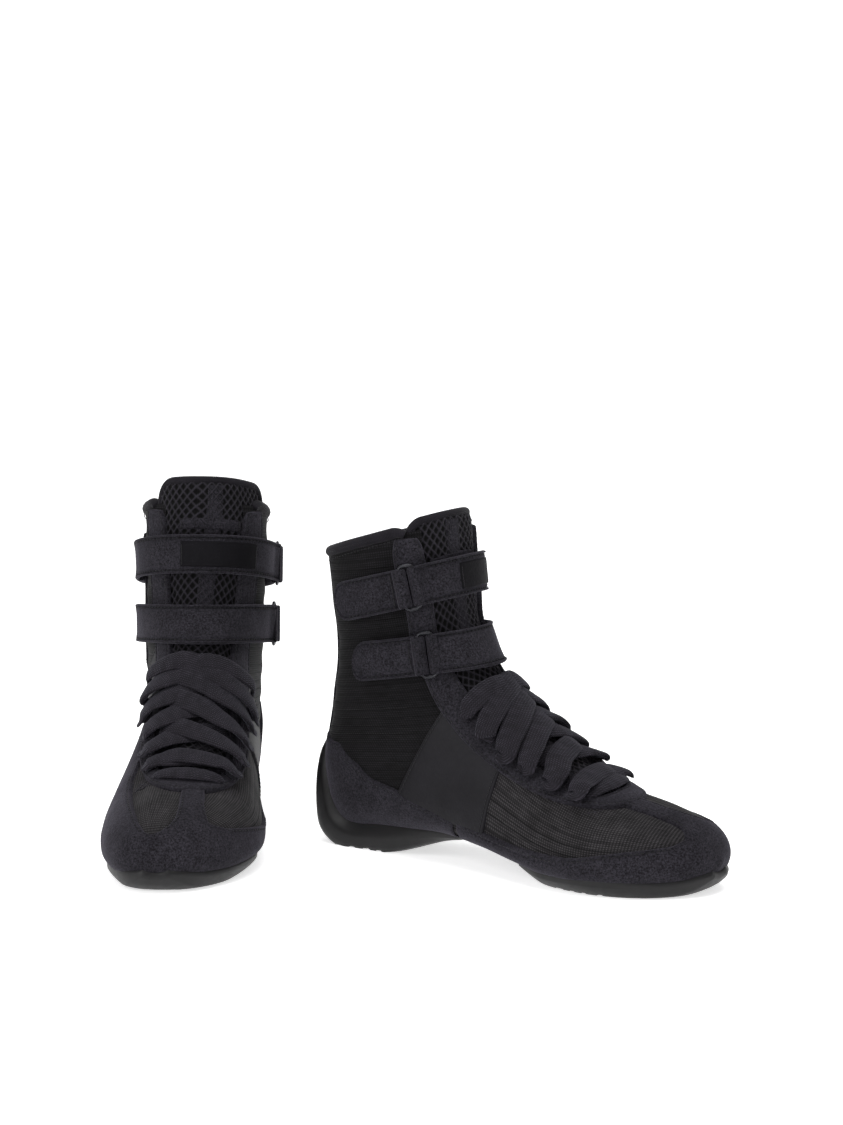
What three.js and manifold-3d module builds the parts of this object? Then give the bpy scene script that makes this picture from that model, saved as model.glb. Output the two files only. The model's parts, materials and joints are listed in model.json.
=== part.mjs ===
// A pair of laced boxing boots with two ankle straps each, in millimetres, +Z up, standing on z = 0.
// Each boot is drawn once as a right boot in its own frame: x runs from the back of the heel to the toe,
// y points to the inner (medial) side and z is up. The left boot is its mirror image.
//
// The upper is one smooth skin. A point on it is skin(u, phi): u counts the stations from the toe tip (0)
// over the heel (about 9.5) to the collar (14), and phi is the angle round the station, in degrees, from the
// top or front (0) over the outer (lateral) side (+90) to the sole or heel seam (180).
// Every sewn panel is a layer between two depths under that skin, cut to the panel's own outline.
import * as THREE from 'three';
import { mergeVertices } from 'three/addons/utils/BufferGeometryUtils.js';
import Module from 'manifold-3d';

const wasm = await Module();
wasm.setup();

// ---------------------------------------------------------------- driving dimensions
// One row per station: front or top point x, z; sole or back point x, z; half width inside and outside;
// shift to the inner side; height share of the widest place; roundness above and below it.
const STATIONS = [
  [256, 19, 256, 17, 1, 1, 9, 0.5, 2, 2],
  [252, 31, 251, 9, 17, 18, 9, 0.45, 2, 2.2],
  [242, 40, 241, 5, 28, 29, 7, 0.4, 2, 2.6],
  [224, 47, 223, 4, 39, 39, 3, 0.36, 2, 3],
  [196, 54, 196, 4, 45.5, 45, 0, 0.3, 2, 3.2],
  [169, 66, 165, 5, 44, 45, 0, 0.27, 2, 3.2],
  [144, 82, 130, 11, 38, 40, 0, 0.27, 2.1, 3],
  [122, 100, 90, 15, 33, 36, 0, 0.33, 2.2, 2.8],
  [107, 117, 46, 12, 33, 35, 0, 0.42, 2.3, 2.6],
  [100, 130, 14, 11, 35, 35, 0, 0.52, 2.3, 2.4],
  [95, 142, 0, 39, 36, 36, 0, 0.55, 2.3, 2.2],
  [93, 155, 6, 82, 36, 37, 0, 0.55, 2.3, 2.2],
  [91, 168, 10, 114, 36, 38, 0, 0.53, 2.3, 2.2],
  [90, 181, 7, 143, 37, 39, 0, 0.5, 2.3, 2.2],
  [89, 194, 4, 168, 37, 39, 0, 0.5, 2.3, 2.2],
  [88, 208, 1, 182, 37, 39, 0, 0.5, 2.3, 2.2],
];
const COLLAR = 14;
const SKEW = 5; // the lacing runs this many degrees outside the middle line

// Layers of the upper, as depths under the skin.
const OVERLAY = [-1.1, 0];
const BASE = [-3.3, -2];
const STIFFENER = [-5.2, -4.2];
const TONGUE = [-8, -4.2];
const TONGUE_TRIM = [-3.3, -2.3];
const LINING = [-8.4, -6.1];
const SOCKLINER = [-9.2, -6.1];
const TONGUE_SIDES = [-45, 53];

// Outlines: pairs of u and degrees from the lacing's middle line, or from the top line.
// The eyestay is a U: its throat edge and its outer edge, point by point from the bottom to the collar.
const EYESTAY_INNER = [[4, 0], [4.02, 10], [4.2, 20], [4.6, 25], [5.2, 27], [6, 28], [6.9, 29], [7.8, 29], [8.9, 30],
  [10.4, 31], [12, 33], [13.2, 35], [13.6, 40]];
const EYESTAY_OUTER = [[3.45, 0], [3.55, 12], [3.8, 24], [4.4, 36], [5.2, 45], [6, 51], [6.9, 54], [7.8, 52],
  [8.9, 51], [10.4, 55], [12, 59], [13.2, 60], [13.7, 54]];
const RAND_LATERAL = [[1.7, 35], [1.95, 54], [2.6, 66], [3.4, 76], [4.2, 86], [5.4, 91], [6.2, 98], [6.75, 106]];
const RAND_MEDIAL = [[1.75, 30], [2, 42], [2.5, 52], [3.3, 57], [4.1, 54], [4.7, 47], [4.9, 40]];
const TOE_BAR_LATERAL = [[1.7, 32], [1.9, 20], [2.3, 15], [3.6, 13]];
const TOE_BAR_MEDIAL = [[1.75, 26], [2, 12], [2.4, 5], [3.6, 2]];
const FOXING_EDGE = [[6.87, 107], [7.9, 102], [9.2, 109], [10, 122], [10.45, 145], [10.7, 176]];
const RAND_END = 6.6;
const VAMP_END = 7.1;
const HEEL_RUBBER_EDGE = [[6.7, 148], [7.2, 149], [8, 151], [9, 152], [9.8, 150], [10.3, 156], [10.6, 174]];
const HEEL_RUBBER_DEPTH = [[6.7, 0.9], [7.1, 5], [7.6, 11], [8, 15], [8.7, 15], [9.2, 14], [9.5, 10], [9.8, 7],
  [10.6, 2.4]];
const FORE_RUBBER_EDGE = [[0.5, 130], [1, 118], [2, 114], [3, 112], [4, 114], [5, 128], [5.6, 150]];
const FORE_RUBBER_DEPTH = [[0.5, 2.4], [1.2, 3.4], [2, 5.2], [3, 6], [4, 6], [5, 6], [5.6, 4]];

// Straps: the middle plane of each one is z = height + slope * (x - at).
const STRAPS = {
  upper: { at: 90, height: 163, slope: 0.27 },
  lower: { at: 98, height: 123.5, slope: 0.17 },
};
const STRAP_HALF = 11.3;
const STRAP_LIFT = [2.4, 4.4];
const TAB_LIFT = [1.8, 3.8];
const STRAP_START = -83.6; // the inner side
const ANCHOR_END = -89.2;
const RING = { gap: 10, height: 29, wire: 2.4, corner: 3, lift: 4.7 };
const FOLD = { radius: 3.3, bore: 2, half: 10.8 };
const LABEL = { half: 7.5, lift: [4.8, 5.6] };
const LACE_ROWS = [4.25, 4.85, 5.45, 6, 6.5, 6.95, 7.35];
const LACE = { width: 9.5, lift: [2.4, 5.6], reach: 33 };

// The left boot is the mirror image of the right one, and its straps are done up looser.
const BOOTS = {
  right: {
    x: -45.5, y: 20.2, turn: -35, mirrored: false, label: [-46, 12],
    upper: { ring: 56, tabEnd: 116 }, lower: { ring: 48, tabEnd: 103 },
  },
  left: {
    x: -123.5, y: 132.2, turn: -92, mirrored: true, label: [-12, 50],
    upper: { ring: 94, tabEnd: 143 }, lower: { ring: 91, tabEnd: 141 },
  },
};

const COLOURS = {
  suede: 0x2e2c33, mesh: 0x232226, leather: 0x343238, rubber: 0x202023, textile: 0x1c1b1f, lace: 0x2a292d,
  metal: 0x55555a, board: 0xb9ad97, foam: 0x2b2b30, stiff: 0xd8d2c4,
};

// ---------------------------------------------------------------- the skin
function spline(rows, t) {
  const last = rows.length - 1;
  const i = Math.min(Math.max(Math.floor(t), 0), last - 1);
  const f = t - i;
  const b = rows[i];
  const c = rows[i + 1];
  const a = i > 0 ? rows[i - 1] : b.map((v, k) => 2 * v - c[k]);
  const d = i < last - 1 ? rows[i + 2] : c.map((v, k) => 2 * v - b[k]);
  return b.map((v, k) => v + 0.5 * f * (c[k] - a[k] + f * (2 * a[k] - 5 * v + 4 * c[k] - d[k]
    + f * (3 * (v - c[k]) + d[k] - a[k]))));
}

function skin(u, phi) {
  const [xt, zt, xb, zb, inside, outside, shift, widest, top, bottom] = spline(STATIONS, u);
  const angle = THREE.MathUtils.degToRad(phi);
  const c = Math.cos(angle);
  const s = Math.sin(angle);
  const power = 2 / (c > 0 ? top : bottom);
  const rise = Math.sign(c) * Math.abs(c) ** power;
  const side = Math.sign(s) * Math.abs(s) ** power;
  const share = widest + rise * (rise > 0 ? 1 - widest : widest);
  const y = shift - side * (s > 0 ? outside : inside);
  return new THREE.Vector3(xb + share * (xt - xb), y, zb + share * (zt - zb));
}

function middle(u) {
  return skin(u, 0).add(skin(u, 180)).multiplyScalar(0.5);
}

function outward(u, phi) {
  const along = skin(u + 0.05, phi).sub(skin(Math.max(u - 0.05, 0), phi));
  const round = skin(u, phi + 1.5).sub(skin(u, phi - 1.5));
  const normal = along.cross(round).normalize();
  return normal.dot(skin(u, phi).sub(middle(u))) < 0 ? normal.negate() : normal;
}

function onSkin(u, phi, depth) {
  return skin(u, phi).addScaledVector(outward(u, phi), depth);
}

// ---------------------------------------------------------------- solids
function solid(points, triangles) {
  const plain = new THREE.BufferGeometry();
  plain.setAttribute('position', new THREE.Float32BufferAttribute(points.flatMap((p) => [p.x, p.y, p.z]), 3));
  plain.setIndex(triangles.flat());
  return manifoldOf(plain);
}

function manifoldOf(geometry) {
  const bare = geometry.clone();
  bare.deleteAttribute('normal');
  bare.deleteAttribute('uv');
  const merged = mergeVertices(bare, 1e-4);
  const positions = merged.attributes.position.array;
  const corners = [...merged.index.array];
  let volume = 0;
  const p = (i) => new THREE.Vector3().fromArray(positions, 3 * i);
  for (let i = 0; i < corners.length; i += 3) {
    volume += p(corners[i]).dot(p(corners[i + 1]).cross(p(corners[i + 2])));
  }
  if (volume < 0) corners.reverse();
  const mesh = new wasm.Mesh({
    numProp: 3,
    vertProperties: new Float32Array(positions),
    triVerts: new Uint32Array(corners),
  });
  return new wasm.Manifold(mesh);
}

// A closed sheet: place(s, t) gives a point's u and phi, and both faces lie at their own depth.
function sheet(place, countS, countT, inner, outer) {
  const depthOf = (depth, u, phi) => (typeof depth === 'function' ? depth(u, phi) : depth);
  const points = [];
  for (const depth of [inner, outer]) {
    for (let i = 0; i <= countS; i += 1) {
      for (let j = 0; j <= countT; j += 1) {
        const [u, phi] = place(i / countS, j / countT);
        points.push(onSkin(u, phi, depthOf(depth, u, phi)));
      }
    }
  }
  return solid(points, sheetTriangles(countS, countT));
}

function sheetTriangles(countS, countT) {
  const wide = countT + 1;
  const layer = (countS + 1) * wide;
  const triangles = [];
  const quad = (a, b, c, d) => triangles.push([a, b, c], [a, c, d]);
  for (let i = 0; i < countS; i += 1) {
    for (let j = 0; j < countT; j += 1) {
      const a = i * wide + j;
      quad(a, a + 1, a + wide + 1, a + wide);
      quad(layer + a, layer + a + wide, layer + a + wide + 1, layer + a + 1);
    }
  }
  for (let i = 0; i < countS; i += 1) {
    const a = i * wide;
    const b = a + countT;
    quad(a, a + wide, layer + a + wide, layer + a);
    quad(b, layer + b, layer + b + wide, b + wide);
  }
  for (let j = 0; j < countT; j += 1) {
    const b = countS * wide + j;
    quad(j, layer + j, layer + j + 1, j + 1);
    quad(b, b + 1, layer + b + 1, layer + b);
  }
  return triangles;
}

// One layer of the upper, all the way round and closed over the toe, on a grid that all layers share.
const RINGS = [0.35, 0.9, 1.5, 2.2, 3, 3.9, 4.8, 5.7, 6.6, 7.1, 7.7, 8.3, 8.9, 9.35, 9.8, 10.4, 11.3, 12.4, 13.3];
const ROUND = 20;

function layer([inner, outer], top = COLLAR) {
  const rings = [...RINGS.filter((u) => u < top - 0.3), top];
  const points = [];
  for (const depth of [inner, outer]) {
    points.push(skin(0, 0).add(skin(0, 180)).multiplyScalar(0.5).add(new THREE.Vector3(depth + 1, 0, 0)));
    for (const u of rings) {
      for (let j = 0; j < ROUND; j += 1) points.push(onSkin(u, (360 * (j + 0.5)) / ROUND, depth));
    }
  }
  const size = 1 + rings.length * ROUND;
  const triangles = [];
  const at = (face, ring, j) => face * size + 1 + ring * ROUND + (j % ROUND);
  const turned = (face, triangle) => (face ? triangle : [...triangle].reverse());
  for (let j = 0; j < ROUND; j += 1) {
    for (const face of [0, 1]) {
      triangles.push(turned(face, [face * size, at(face, 0, j), at(face, 0, j + 1)]));
      for (let r = 0; r < rings.length - 1; r += 1) {
        const a = at(face, r, j);
        const c = at(face, r + 1, j + 1);
        triangles.push(turned(face, [a, at(face, r + 1, j), c]), turned(face, [a, c, at(face, r, j + 1)]));
      }
    }
    const r = rings.length - 1;
    triangles.push([at(1, r, j), at(0, r, j), at(0, r, j + 1)], [at(1, r, j), at(0, r, j + 1), at(1, r, j + 1)]);
  }
  return solid(points, triangles);
}

// The angle of an outline at station u.
function edgeAt(outline, u) {
  const i = Math.max(1, outline.findIndex(([v]) => v >= u));
  const k = u >= outline[outline.length - 1][0] ? outline.length - 1 : i;
  const [u0, a0] = outline[k - 1];
  const [u1, a1] = outline[k];
  const f = THREE.MathUtils.clamp((u - u0) / (u1 - u0), 0, 1);
  return a0 + f * (a1 - a0);
}

// A panel is a band of the skin between two angles. Its rows and columns lie on the lines that all layers
// share, so that thin layers nest without touching.
function panel(from, to, angleA, angleB, [inner, outer]) {
  const bound = (angle, u) => (typeof angle === 'function' ? angle(u) : angle);
  const rows = [from, ...RINGS.filter((u) => u > from + 0.2 && u < to - 0.2), to];
  const lowest = Math.max(...rows.map((u) => bound(angleA, u)));
  const highest = Math.min(...rows.map((u) => bound(angleB, u)));
  const columns = [];
  for (let j = -ROUND; j < ROUND; j += 1) {
    const phi = (360 * (j + 0.5)) / ROUND;
    if (phi > lowest + 3 && phi < highest - 3) columns.push(phi);
  }
  const place = (s, t) => {
    const u = rows[Math.round(s * (rows.length - 1))];
    const column = Math.round(t * (columns.length + 1));
    if (column === 0) return [u, bound(angleA, u)];
    return [u, column > columns.length ? bound(angleB, u) : columns[column - 1]];
  };
  return sheet(place, rows.length - 1, columns.length + 1, inner, outer);
}

// A knife cuts a hole through a layer: the band between two outlines, evenly divided.
const KNIFE = [-6.5, 4];

function knife(from, to, angleA, angleB) {
  const place = (s, t) => {
    const u = from + s * (to - from);
    return [u, angleA(u) + t * (angleB(u) - angleA(u))];
  };
  return sheet(place, 10, 6, ...KNIFE);
}

// ---------------------------------------------------------------- the upper
function eyestay(depths, from = 0, to = 1) {
  const last = EYESTAY_INNER.length - 1;
  const place = (s, t) => {
    const k = Math.round((2 * s - 1) * last);
    const side = Math.sign(k) || 1;
    const [ui, ai] = EYESTAY_INNER[Math.abs(k)];
    const [uo, ao] = EYESTAY_OUTER[Math.abs(k)];
    const across = from + t * (to - from);
    return [ui + across * (uo - ui), SKEW + side * (ai + across * (ao - ai))];
  };
  return sheet(place, 2 * last, 2, depths[0], depths[1]);
}

function upper() {
  const throatEdge = (side) => (u) => SKEW + side * Math.min(edgeAt(EYESTAY_INNER, u), 36);
  const throat = knife(3.99, 8.5, throatEdge(-1), throatEdge(1));
  const lateralWindow = knife(1.7, 6.9, (u) => edgeAt(TOE_BAR_LATERAL, u), (u) => edgeAt(RAND_LATERAL, u));
  const medialWindow = knife(1.75, 4.9, (u) => -edgeAt(RAND_MEDIAL, u), (u) => -edgeAt(TOE_BAR_MEDIAL, u));
  const foxing = (u) => edgeAt(FOXING_EDGE, u);
  const underSaddle = (u) => (u <= RAND_END ? edgeAt(RAND_LATERAL, u) : foxing(u)) - 1.4;
  const besideEyestay = (u) => edgeAt(EYESTAY_OUTER, u) + 2;
  const sewnEnd = (strap) => strapSheet(strap, -108, ANCHOR_END, [-0.8, STRAP_LIFT[1]], 3);
  return {
    vamp_mesh: layer(BASE, VAMP_END - 0.02).subtract(throat),
    lateral_quarter: panel(VAMP_END + 0.02, COLLAR, throatEdge(1), 179.7, BASE),
    medial_quarter: panel(VAMP_END + 0.02, COLLAR, -179.7, throatEdge(-1), BASE),
    toe_rand: layer(OVERLAY, RAND_END).subtract(eyestay(KNIFE, -0.3, 1.06)).subtract(throat)
      .subtract(lateralWindow).subtract(medialWindow),
    heel_foxing: panel(RAND_END + 0.1, 10.7, 99, 261, OVERLAY)
      .intersect(knife(RAND_END + 0.1, 10.7, foxing, (u) => 360 - foxing(u))),
    eyestay: eyestay(OVERLAY),
    lateral_saddle: panel(6.1, 7.85, (u) => SKEW + besideEyestay(u), underSaddle, OVERLAY),
    medial_saddle: panel(6.95, 8.6, (u) => -underSaddle(u), (u) => SKEW - besideEyestay(u), OVERLAY),
    backstay: panel(10.9, 13.9, 155, 205, OVERLAY),
    strap_anchor: panel(9.9, 13.4, -116, ANCHOR_END - 1, OVERLAY)
      .add(sewnEnd(STRAPS.upper)).add(sewnEnd(STRAPS.lower)),
    collar_binding: sheet((s, t) => [14.07 + 0.3 * s, 59 + 252 * t], 1, 18, -8.2, 0.3),
    lining: panel(9.6, COLLAR, 58, 312, LINING),
    heel_counter: panel(9.4, 11.2, 117, 243, STIFFENER),
    toe_puff: panel(0.5, 2.2, -99, 99, STIFFENER),
    insole_board: panel(0.9, 9.2, 135, 225, STIFFENER),
    sockliner: panel(1.2, 9.3, 135, 225, SOCKLINER),
    tongue: panel(3.9, 14.6, ...TONGUE_SIDES, TONGUE),
    tongue_binding: sheet((s, t) => [14.67 + 0.25 * s, -41 + 92 * t], 1, 8, -8.4, -2.9),
    tongue_trim: panel(8.4, 14.5, SKEW - 7, SKEW + 7, TONGUE_TRIM)
      .add(panel(12.95, 13.4, SKEW - 27, SKEW + 27, TONGUE_TRIM)),
    lace: lacing(),
  };
}

// A rubber sole that fills the room down to the ground and follows the upper above it.
function rubber(edge, depth) {
  const place = (s, t) => {
    const u = edge[0][0] + s * (edge[edge.length - 1][0] - edge[0][0]);
    const a = edgeAt(edge, u);
    return [u, a + t * (360 - 2 * a)];
  };
  const outer = (u, phi) => {
    const inside = 1 - Math.abs(phi - 180) / (180 - edgeAt(edge, u));
    return 0.9 + (edgeAt(depth, u) - 0.9) * Math.min(1, 0.25 + 2.2 * Math.max(0, inside));
  };
  const floor = new THREE.BoxGeometry(600, 300, 300);
  floor.translate(120, 0, 150);
  return sheet(place, 10, 6, 1.3, outer).intersect(manifoldOf(floor));
}

// ---------------------------------------------------------------- straps, rings and tabs
function planeNormal(strap) {
  return new THREE.Vector3(-strap.slope, 0, 1).normalize();
}

// The station where the skin at phi lies this far above or below the strap's middle plane.
function stationOn(strap, phi, across, lift) {
  const normal = planeNormal(strap);
  const origin = new THREE.Vector3(strap.at, 0, strap.height);
  let low = 6.5;
  let high = 15;
  for (let i = 0; i < 24; i += 1) {
    const u = (low + high) / 2;
    if (onSkin(u, phi, lift).sub(origin).dot(normal) < across) low = u;
    else high = u;
  }
  return (low + high) / 2;
}

function strapSheet(strap, from, to, lift, steps, halfAt = () => STRAP_HALF) {
  const place = (s, t) => {
    const phi = from + s * (to - from);
    return [stationOn(strap, phi, (2 * t - 1) * halfAt(s), lift[1]), phi];
  };
  return sheet(place, steps, 2, lift[0], lift[1]);
}

// The ring's own frame: its x runs along the strap and its y across it.
function ringFrame(strap, phi) {
  const centre = onSkin(stationOn(strap, phi, 0, RING.lift), phi, RING.lift);
  const before = onSkin(stationOn(strap, phi - 3, 0, RING.lift), phi - 3, RING.lift);
  const after = onSkin(stationOn(strap, phi + 3, 0, RING.lift), phi + 3, RING.lift);
  const along = after.sub(before);
  const perDegree = along.length() / 6;
  const across = planeNormal(strap);
  along.addScaledVector(across, -along.dot(across)).normalize();
  const turn = new THREE.Matrix4().makeBasis(along, across, along.clone().cross(across)).setPosition(centre);
  return { turn, perDegree };
}

function roundedOutline(path, halfLength, halfHeight, corner) {
  path.moveTo(-halfLength + corner, -halfHeight);
  path.lineTo(halfLength - corner, -halfHeight);
  path.absarc(halfLength - corner, -halfHeight + corner, corner, -Math.PI / 2, 0, false);
  path.lineTo(halfLength, halfHeight - corner);
  path.absarc(halfLength - corner, halfHeight - corner, corner, 0, Math.PI / 2, false);
  path.lineTo(-halfLength + corner, halfHeight);
  path.absarc(-halfLength + corner, halfHeight - corner, corner, Math.PI / 2, Math.PI, false);
  path.lineTo(-halfLength, -halfHeight + corner);
  path.absarc(-halfLength + corner, -halfHeight + corner, corner, Math.PI, 1.5 * Math.PI, false);
  return path;
}

function ringSolid(frame) {
  const halfLength = (RING.gap + RING.wire) / 2;
  const halfHeight = RING.height / 2;
  const outline = roundedOutline(new THREE.Shape(), halfLength, halfHeight, RING.corner);
  outline.holes.push(roundedOutline(new THREE.Path(), halfLength - RING.wire, halfHeight - RING.wire, 0.8));
  const options = { depth: RING.wire, bevelEnabled: false, curveSegments: 2 };
  const geometry = new THREE.ExtrudeGeometry(outline, options);
  geometry.translate(0, 0, -RING.wire / 2);
  return manifoldOf(geometry.applyMatrix4(frame.turn));
}

function rod(frame, side, radius, half) {
  const geometry = new THREE.CylinderGeometry(radius, radius, 2 * half, 10);
  geometry.translate((side * RING.gap) / 2, 0, 0);
  return manifoldOf(geometry.applyMatrix4(frame.turn));
}

// Straps end in a sewn fold that turns round the ring's bar.
function folded(sheetSolid, frame, side) {
  return sheetSolid.add(rod(frame, side, FOLD.radius, FOLD.half)).subtract(rod(frame, side, FOLD.bore, 20));
}

function tabHalf(s) {
  const round = Math.max(0, (s - 0.72) / 0.28);
  return STRAP_HALF * Math.sqrt(Math.max(0.12, 1 - round ** 3));
}

function strapParts(name, boot) {
  const strap = STRAPS[name];
  const { ring, tabEnd } = boot[name];
  const frame = ringFrame(strap, ring);
  const reach = RING.gap / 2 / frame.perDegree;
  const free = strapSheet(strap, STRAP_START, ring - reach, STRAP_LIFT, 14);
  const tab = strapSheet(strap, ring + reach, tabEnd, TAB_LIFT, 10, tabHalf);
  return {
    [`${name}_strap`]: folded(free, frame, -1),
    [`${name}_ring`]: ringSolid(frame),
    [`${name}_tab`]: folded(tab, frame, 1),
  };
}

function label(boot) {
  return strapSheet(STRAPS.upper, ...boot.label, LABEL.lift, 6, () => LABEL.half);
}

// ---------------------------------------------------------------- the lace
// One flat lace: a bar at the bottom and a cross between each two rows of eyelets.
function lacing() {
  const stretch = (uA, uB) => {
    const perStation = skin(uA + 0.5, SKEW).distanceTo(skin(uA - 0.5, SKEW));
    const halfWidth = LACE.width / 2 / perStation;
    const place = (s, t) => [uA + s * (uB - uA) + (2 * t - 1) * halfWidth, SKEW + (2 * s - 1) * LACE.reach];
    return sheet(place, 2, 1, LACE.lift[0], LACE.lift[1]);
  };
  let whole = stretch(LACE_ROWS[0], LACE_ROWS[0]);
  for (let i = 0; i < LACE_ROWS.length - 1; i += 1) {
    whole = whole.add(stretch(LACE_ROWS[i], LACE_ROWS[i + 1])).add(stretch(LACE_ROWS[i + 1], LACE_ROWS[i]));
  }
  return whole;
}

// ---------------------------------------------------------------- the pair
const FINISH = {
  vamp_mesh: 'mesh', lateral_quarter: 'mesh', medial_quarter: 'mesh', tongue: 'mesh', lining: 'textile',
  toe_rand: 'suede', heel_foxing: 'suede', eyestay: 'suede', backstay: 'suede', strap_anchor: 'suede',
  tongue_trim: 'suede', upper_strap: 'suede', lower_strap: 'suede', upper_tab: 'suede', lower_tab: 'suede',
  lateral_saddle: 'leather', medial_saddle: 'leather', strap_label: 'leather',
  collar_binding: 'textile', tongue_binding: 'textile', lace: 'lace', sockliner: 'foam',
  insole_board: 'board', heel_counter: 'stiff', toe_puff: 'stiff',
  heel_outsole: 'rubber', forefoot_outsole: 'rubber', upper_ring: 'metal', lower_ring: 'metal',
};

function meshOf(name, body, mirrored) {
  const { numProp, vertProperties, triVerts } = body.getMesh();
  const positions = new Float32Array((vertProperties.length / numProp) * 3);
  for (let i = 0; i < positions.length / 3; i += 1) {
    positions[3 * i] = vertProperties[i * numProp];
    positions[3 * i + 1] = (mirrored ? -1 : 1) * vertProperties[i * numProp + 1];
    positions[3 * i + 2] = vertProperties[i * numProp + 2];
  }
  const corners = mirrored ? [...triVerts].reverse() : [...triVerts];
  const geometry = new THREE.BufferGeometry();
  geometry.setAttribute('position', new THREE.BufferAttribute(positions, 3));
  geometry.setIndex(corners);
  const finish = FINISH[name];
  const material = new THREE.MeshStandardMaterial({
    color: COLOURS[finish],
    roughness: finish === 'metal' ? 0.35 : 0.85,
    metalness: finish === 'metal' ? 0.9 : 0,
  });
  const mesh = new THREE.Mesh(geometry, material);
  mesh.name = `${mirrored ? 'left' : 'right'}_${name}`;
  return mesh;
}

const common = {
  ...upper(),
  heel_outsole: rubber(HEEL_RUBBER_EDGE, HEEL_RUBBER_DEPTH),
  forefoot_outsole: rubber(FORE_RUBBER_EDGE, FORE_RUBBER_DEPTH),
};

const group = new THREE.Group();
for (const boot of Object.values(BOOTS)) {
  const one = new THREE.Group();
  const pieces = {
    ...common, ...strapParts('upper', boot), ...strapParts('lower', boot), strap_label: label(boot),
  };
  for (const [name, body] of Object.entries(pieces)) one.add(meshOf(name, body, boot.mirrored));
  one.position.set(boot.x, boot.y, 0);
  one.rotation.z = THREE.MathUtils.degToRad(boot.turn);
  group.add(one);
}

export default group;
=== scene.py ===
# The looks of a pair of laced boxing boots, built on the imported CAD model. Lengths are in millimetres until a
# mesh is made, and each boot is drawn as a right boot: x from the heel to the toe, y to the inner side, z up.
import json
import math

import bmesh
import bpy
import numpy as np
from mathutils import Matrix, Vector

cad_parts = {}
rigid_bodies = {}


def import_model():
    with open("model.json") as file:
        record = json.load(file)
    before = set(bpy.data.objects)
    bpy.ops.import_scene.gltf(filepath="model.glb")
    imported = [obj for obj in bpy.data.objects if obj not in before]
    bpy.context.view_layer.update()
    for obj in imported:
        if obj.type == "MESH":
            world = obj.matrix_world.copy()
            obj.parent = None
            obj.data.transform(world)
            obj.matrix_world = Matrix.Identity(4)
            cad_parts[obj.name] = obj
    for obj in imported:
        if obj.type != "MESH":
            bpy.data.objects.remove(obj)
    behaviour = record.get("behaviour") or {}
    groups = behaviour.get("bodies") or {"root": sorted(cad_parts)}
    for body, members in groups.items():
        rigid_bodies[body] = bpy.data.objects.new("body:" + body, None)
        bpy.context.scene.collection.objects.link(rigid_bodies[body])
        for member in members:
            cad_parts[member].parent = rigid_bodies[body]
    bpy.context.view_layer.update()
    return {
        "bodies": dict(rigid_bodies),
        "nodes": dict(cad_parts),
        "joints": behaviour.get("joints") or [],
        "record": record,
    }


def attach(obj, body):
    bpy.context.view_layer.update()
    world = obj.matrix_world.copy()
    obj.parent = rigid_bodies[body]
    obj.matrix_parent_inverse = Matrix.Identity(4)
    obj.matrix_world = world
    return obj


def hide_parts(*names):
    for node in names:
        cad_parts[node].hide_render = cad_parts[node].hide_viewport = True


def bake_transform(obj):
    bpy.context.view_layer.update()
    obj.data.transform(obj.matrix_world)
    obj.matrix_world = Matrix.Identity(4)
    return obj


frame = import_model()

# ---------------------------------------------------------------- the boots, as in the CAD source
# Station rows: front x, z; back or sole x, z; half width inside, outside; shift; widest share; roundness.
STATIONS = np.array([
    [256, 19, 256, 17, 1, 1, 9, 0.5, 2, 2],
    [252, 31, 251, 9, 17, 18, 9, 0.45, 2, 2.2],
    [242, 40, 241, 5, 28, 29, 7, 0.4, 2, 2.6],
    [224, 47, 223, 4, 39, 39, 3, 0.36, 2, 3],
    [196, 54, 196, 4, 45.5, 45, 0, 0.3, 2, 3.2],
    [169, 66, 165, 5, 44, 45, 0, 0.27, 2, 3.2],
    [144, 82, 130, 11, 38, 40, 0, 0.27, 2.1, 3],
    [122, 100, 90, 15, 33, 36, 0, 0.33, 2.2, 2.8],
    [107, 117, 46, 12, 33, 35, 0, 0.42, 2.3, 2.6],
    [100, 130, 14, 11, 35, 35, 0, 0.52, 2.3, 2.4],
    [95, 142, 0, 39, 36, 36, 0, 0.55, 2.3, 2.2],
    [93, 155, 6, 82, 36, 37, 0, 0.55, 2.3, 2.2],
    [91, 168, 10, 114, 36, 38, 0, 0.53, 2.3, 2.2],
    [90, 181, 7, 143, 37, 39, 0, 0.5, 2.3, 2.2],
    [89, 194, 4, 168, 37, 39, 0, 0.5, 2.3, 2.2],
    [88, 208, 1, 182, 37, 39, 0, 0.5, 2.3, 2.2],
])
SKEW = 5.0            # the angle of the lacing's middle line, turned a little to the inner side
# Outlines and edges on the shoe, as (station, angle) with the angle from the top of the foot, outward positive.
EYESTAY_INNER = [(4, 0), (4.02, 10), (4.2, 20), (4.6, 25), (5.2, 27), (6, 28), (6.9, 29), (7.8, 29), (8.9, 30),
                 (10.4, 31), (12, 33), (13.2, 35), (13.6, 40)]
EYESTAY_OUTER = [(3.45, 0), (3.55, 12), (3.8, 24), (4.4, 36), (5.2, 45), (6, 51), (6.9, 54), (7.8, 52),
                 (8.9, 51), (10.4, 55), (12, 59), (13.2, 60), (13.7, 54)]
RAND_LATERAL = [(1.85, 44), (2.05, 57), (2.6, 66), (3.4, 76), (4.2, 86), (5.4, 91), (6.2, 98), (6.75, 106)]
RAND_MEDIAL = [(1.9, 29), (2.05, 34), (2.5, 44), (3.3, 50), (4.1, 49), (4.7, 44), (4.9, 38)]
TOE_BAR_LATERAL = [(1.85, 40), (2.0, 31), (2.4, 25), (3.0, 21), (3.6, 20)]
TOE_BAR_MEDIAL = [(1.9, 27), (2.1, 14), (2.4, 4), (2.9, -2), (3.6, -3)]
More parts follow.
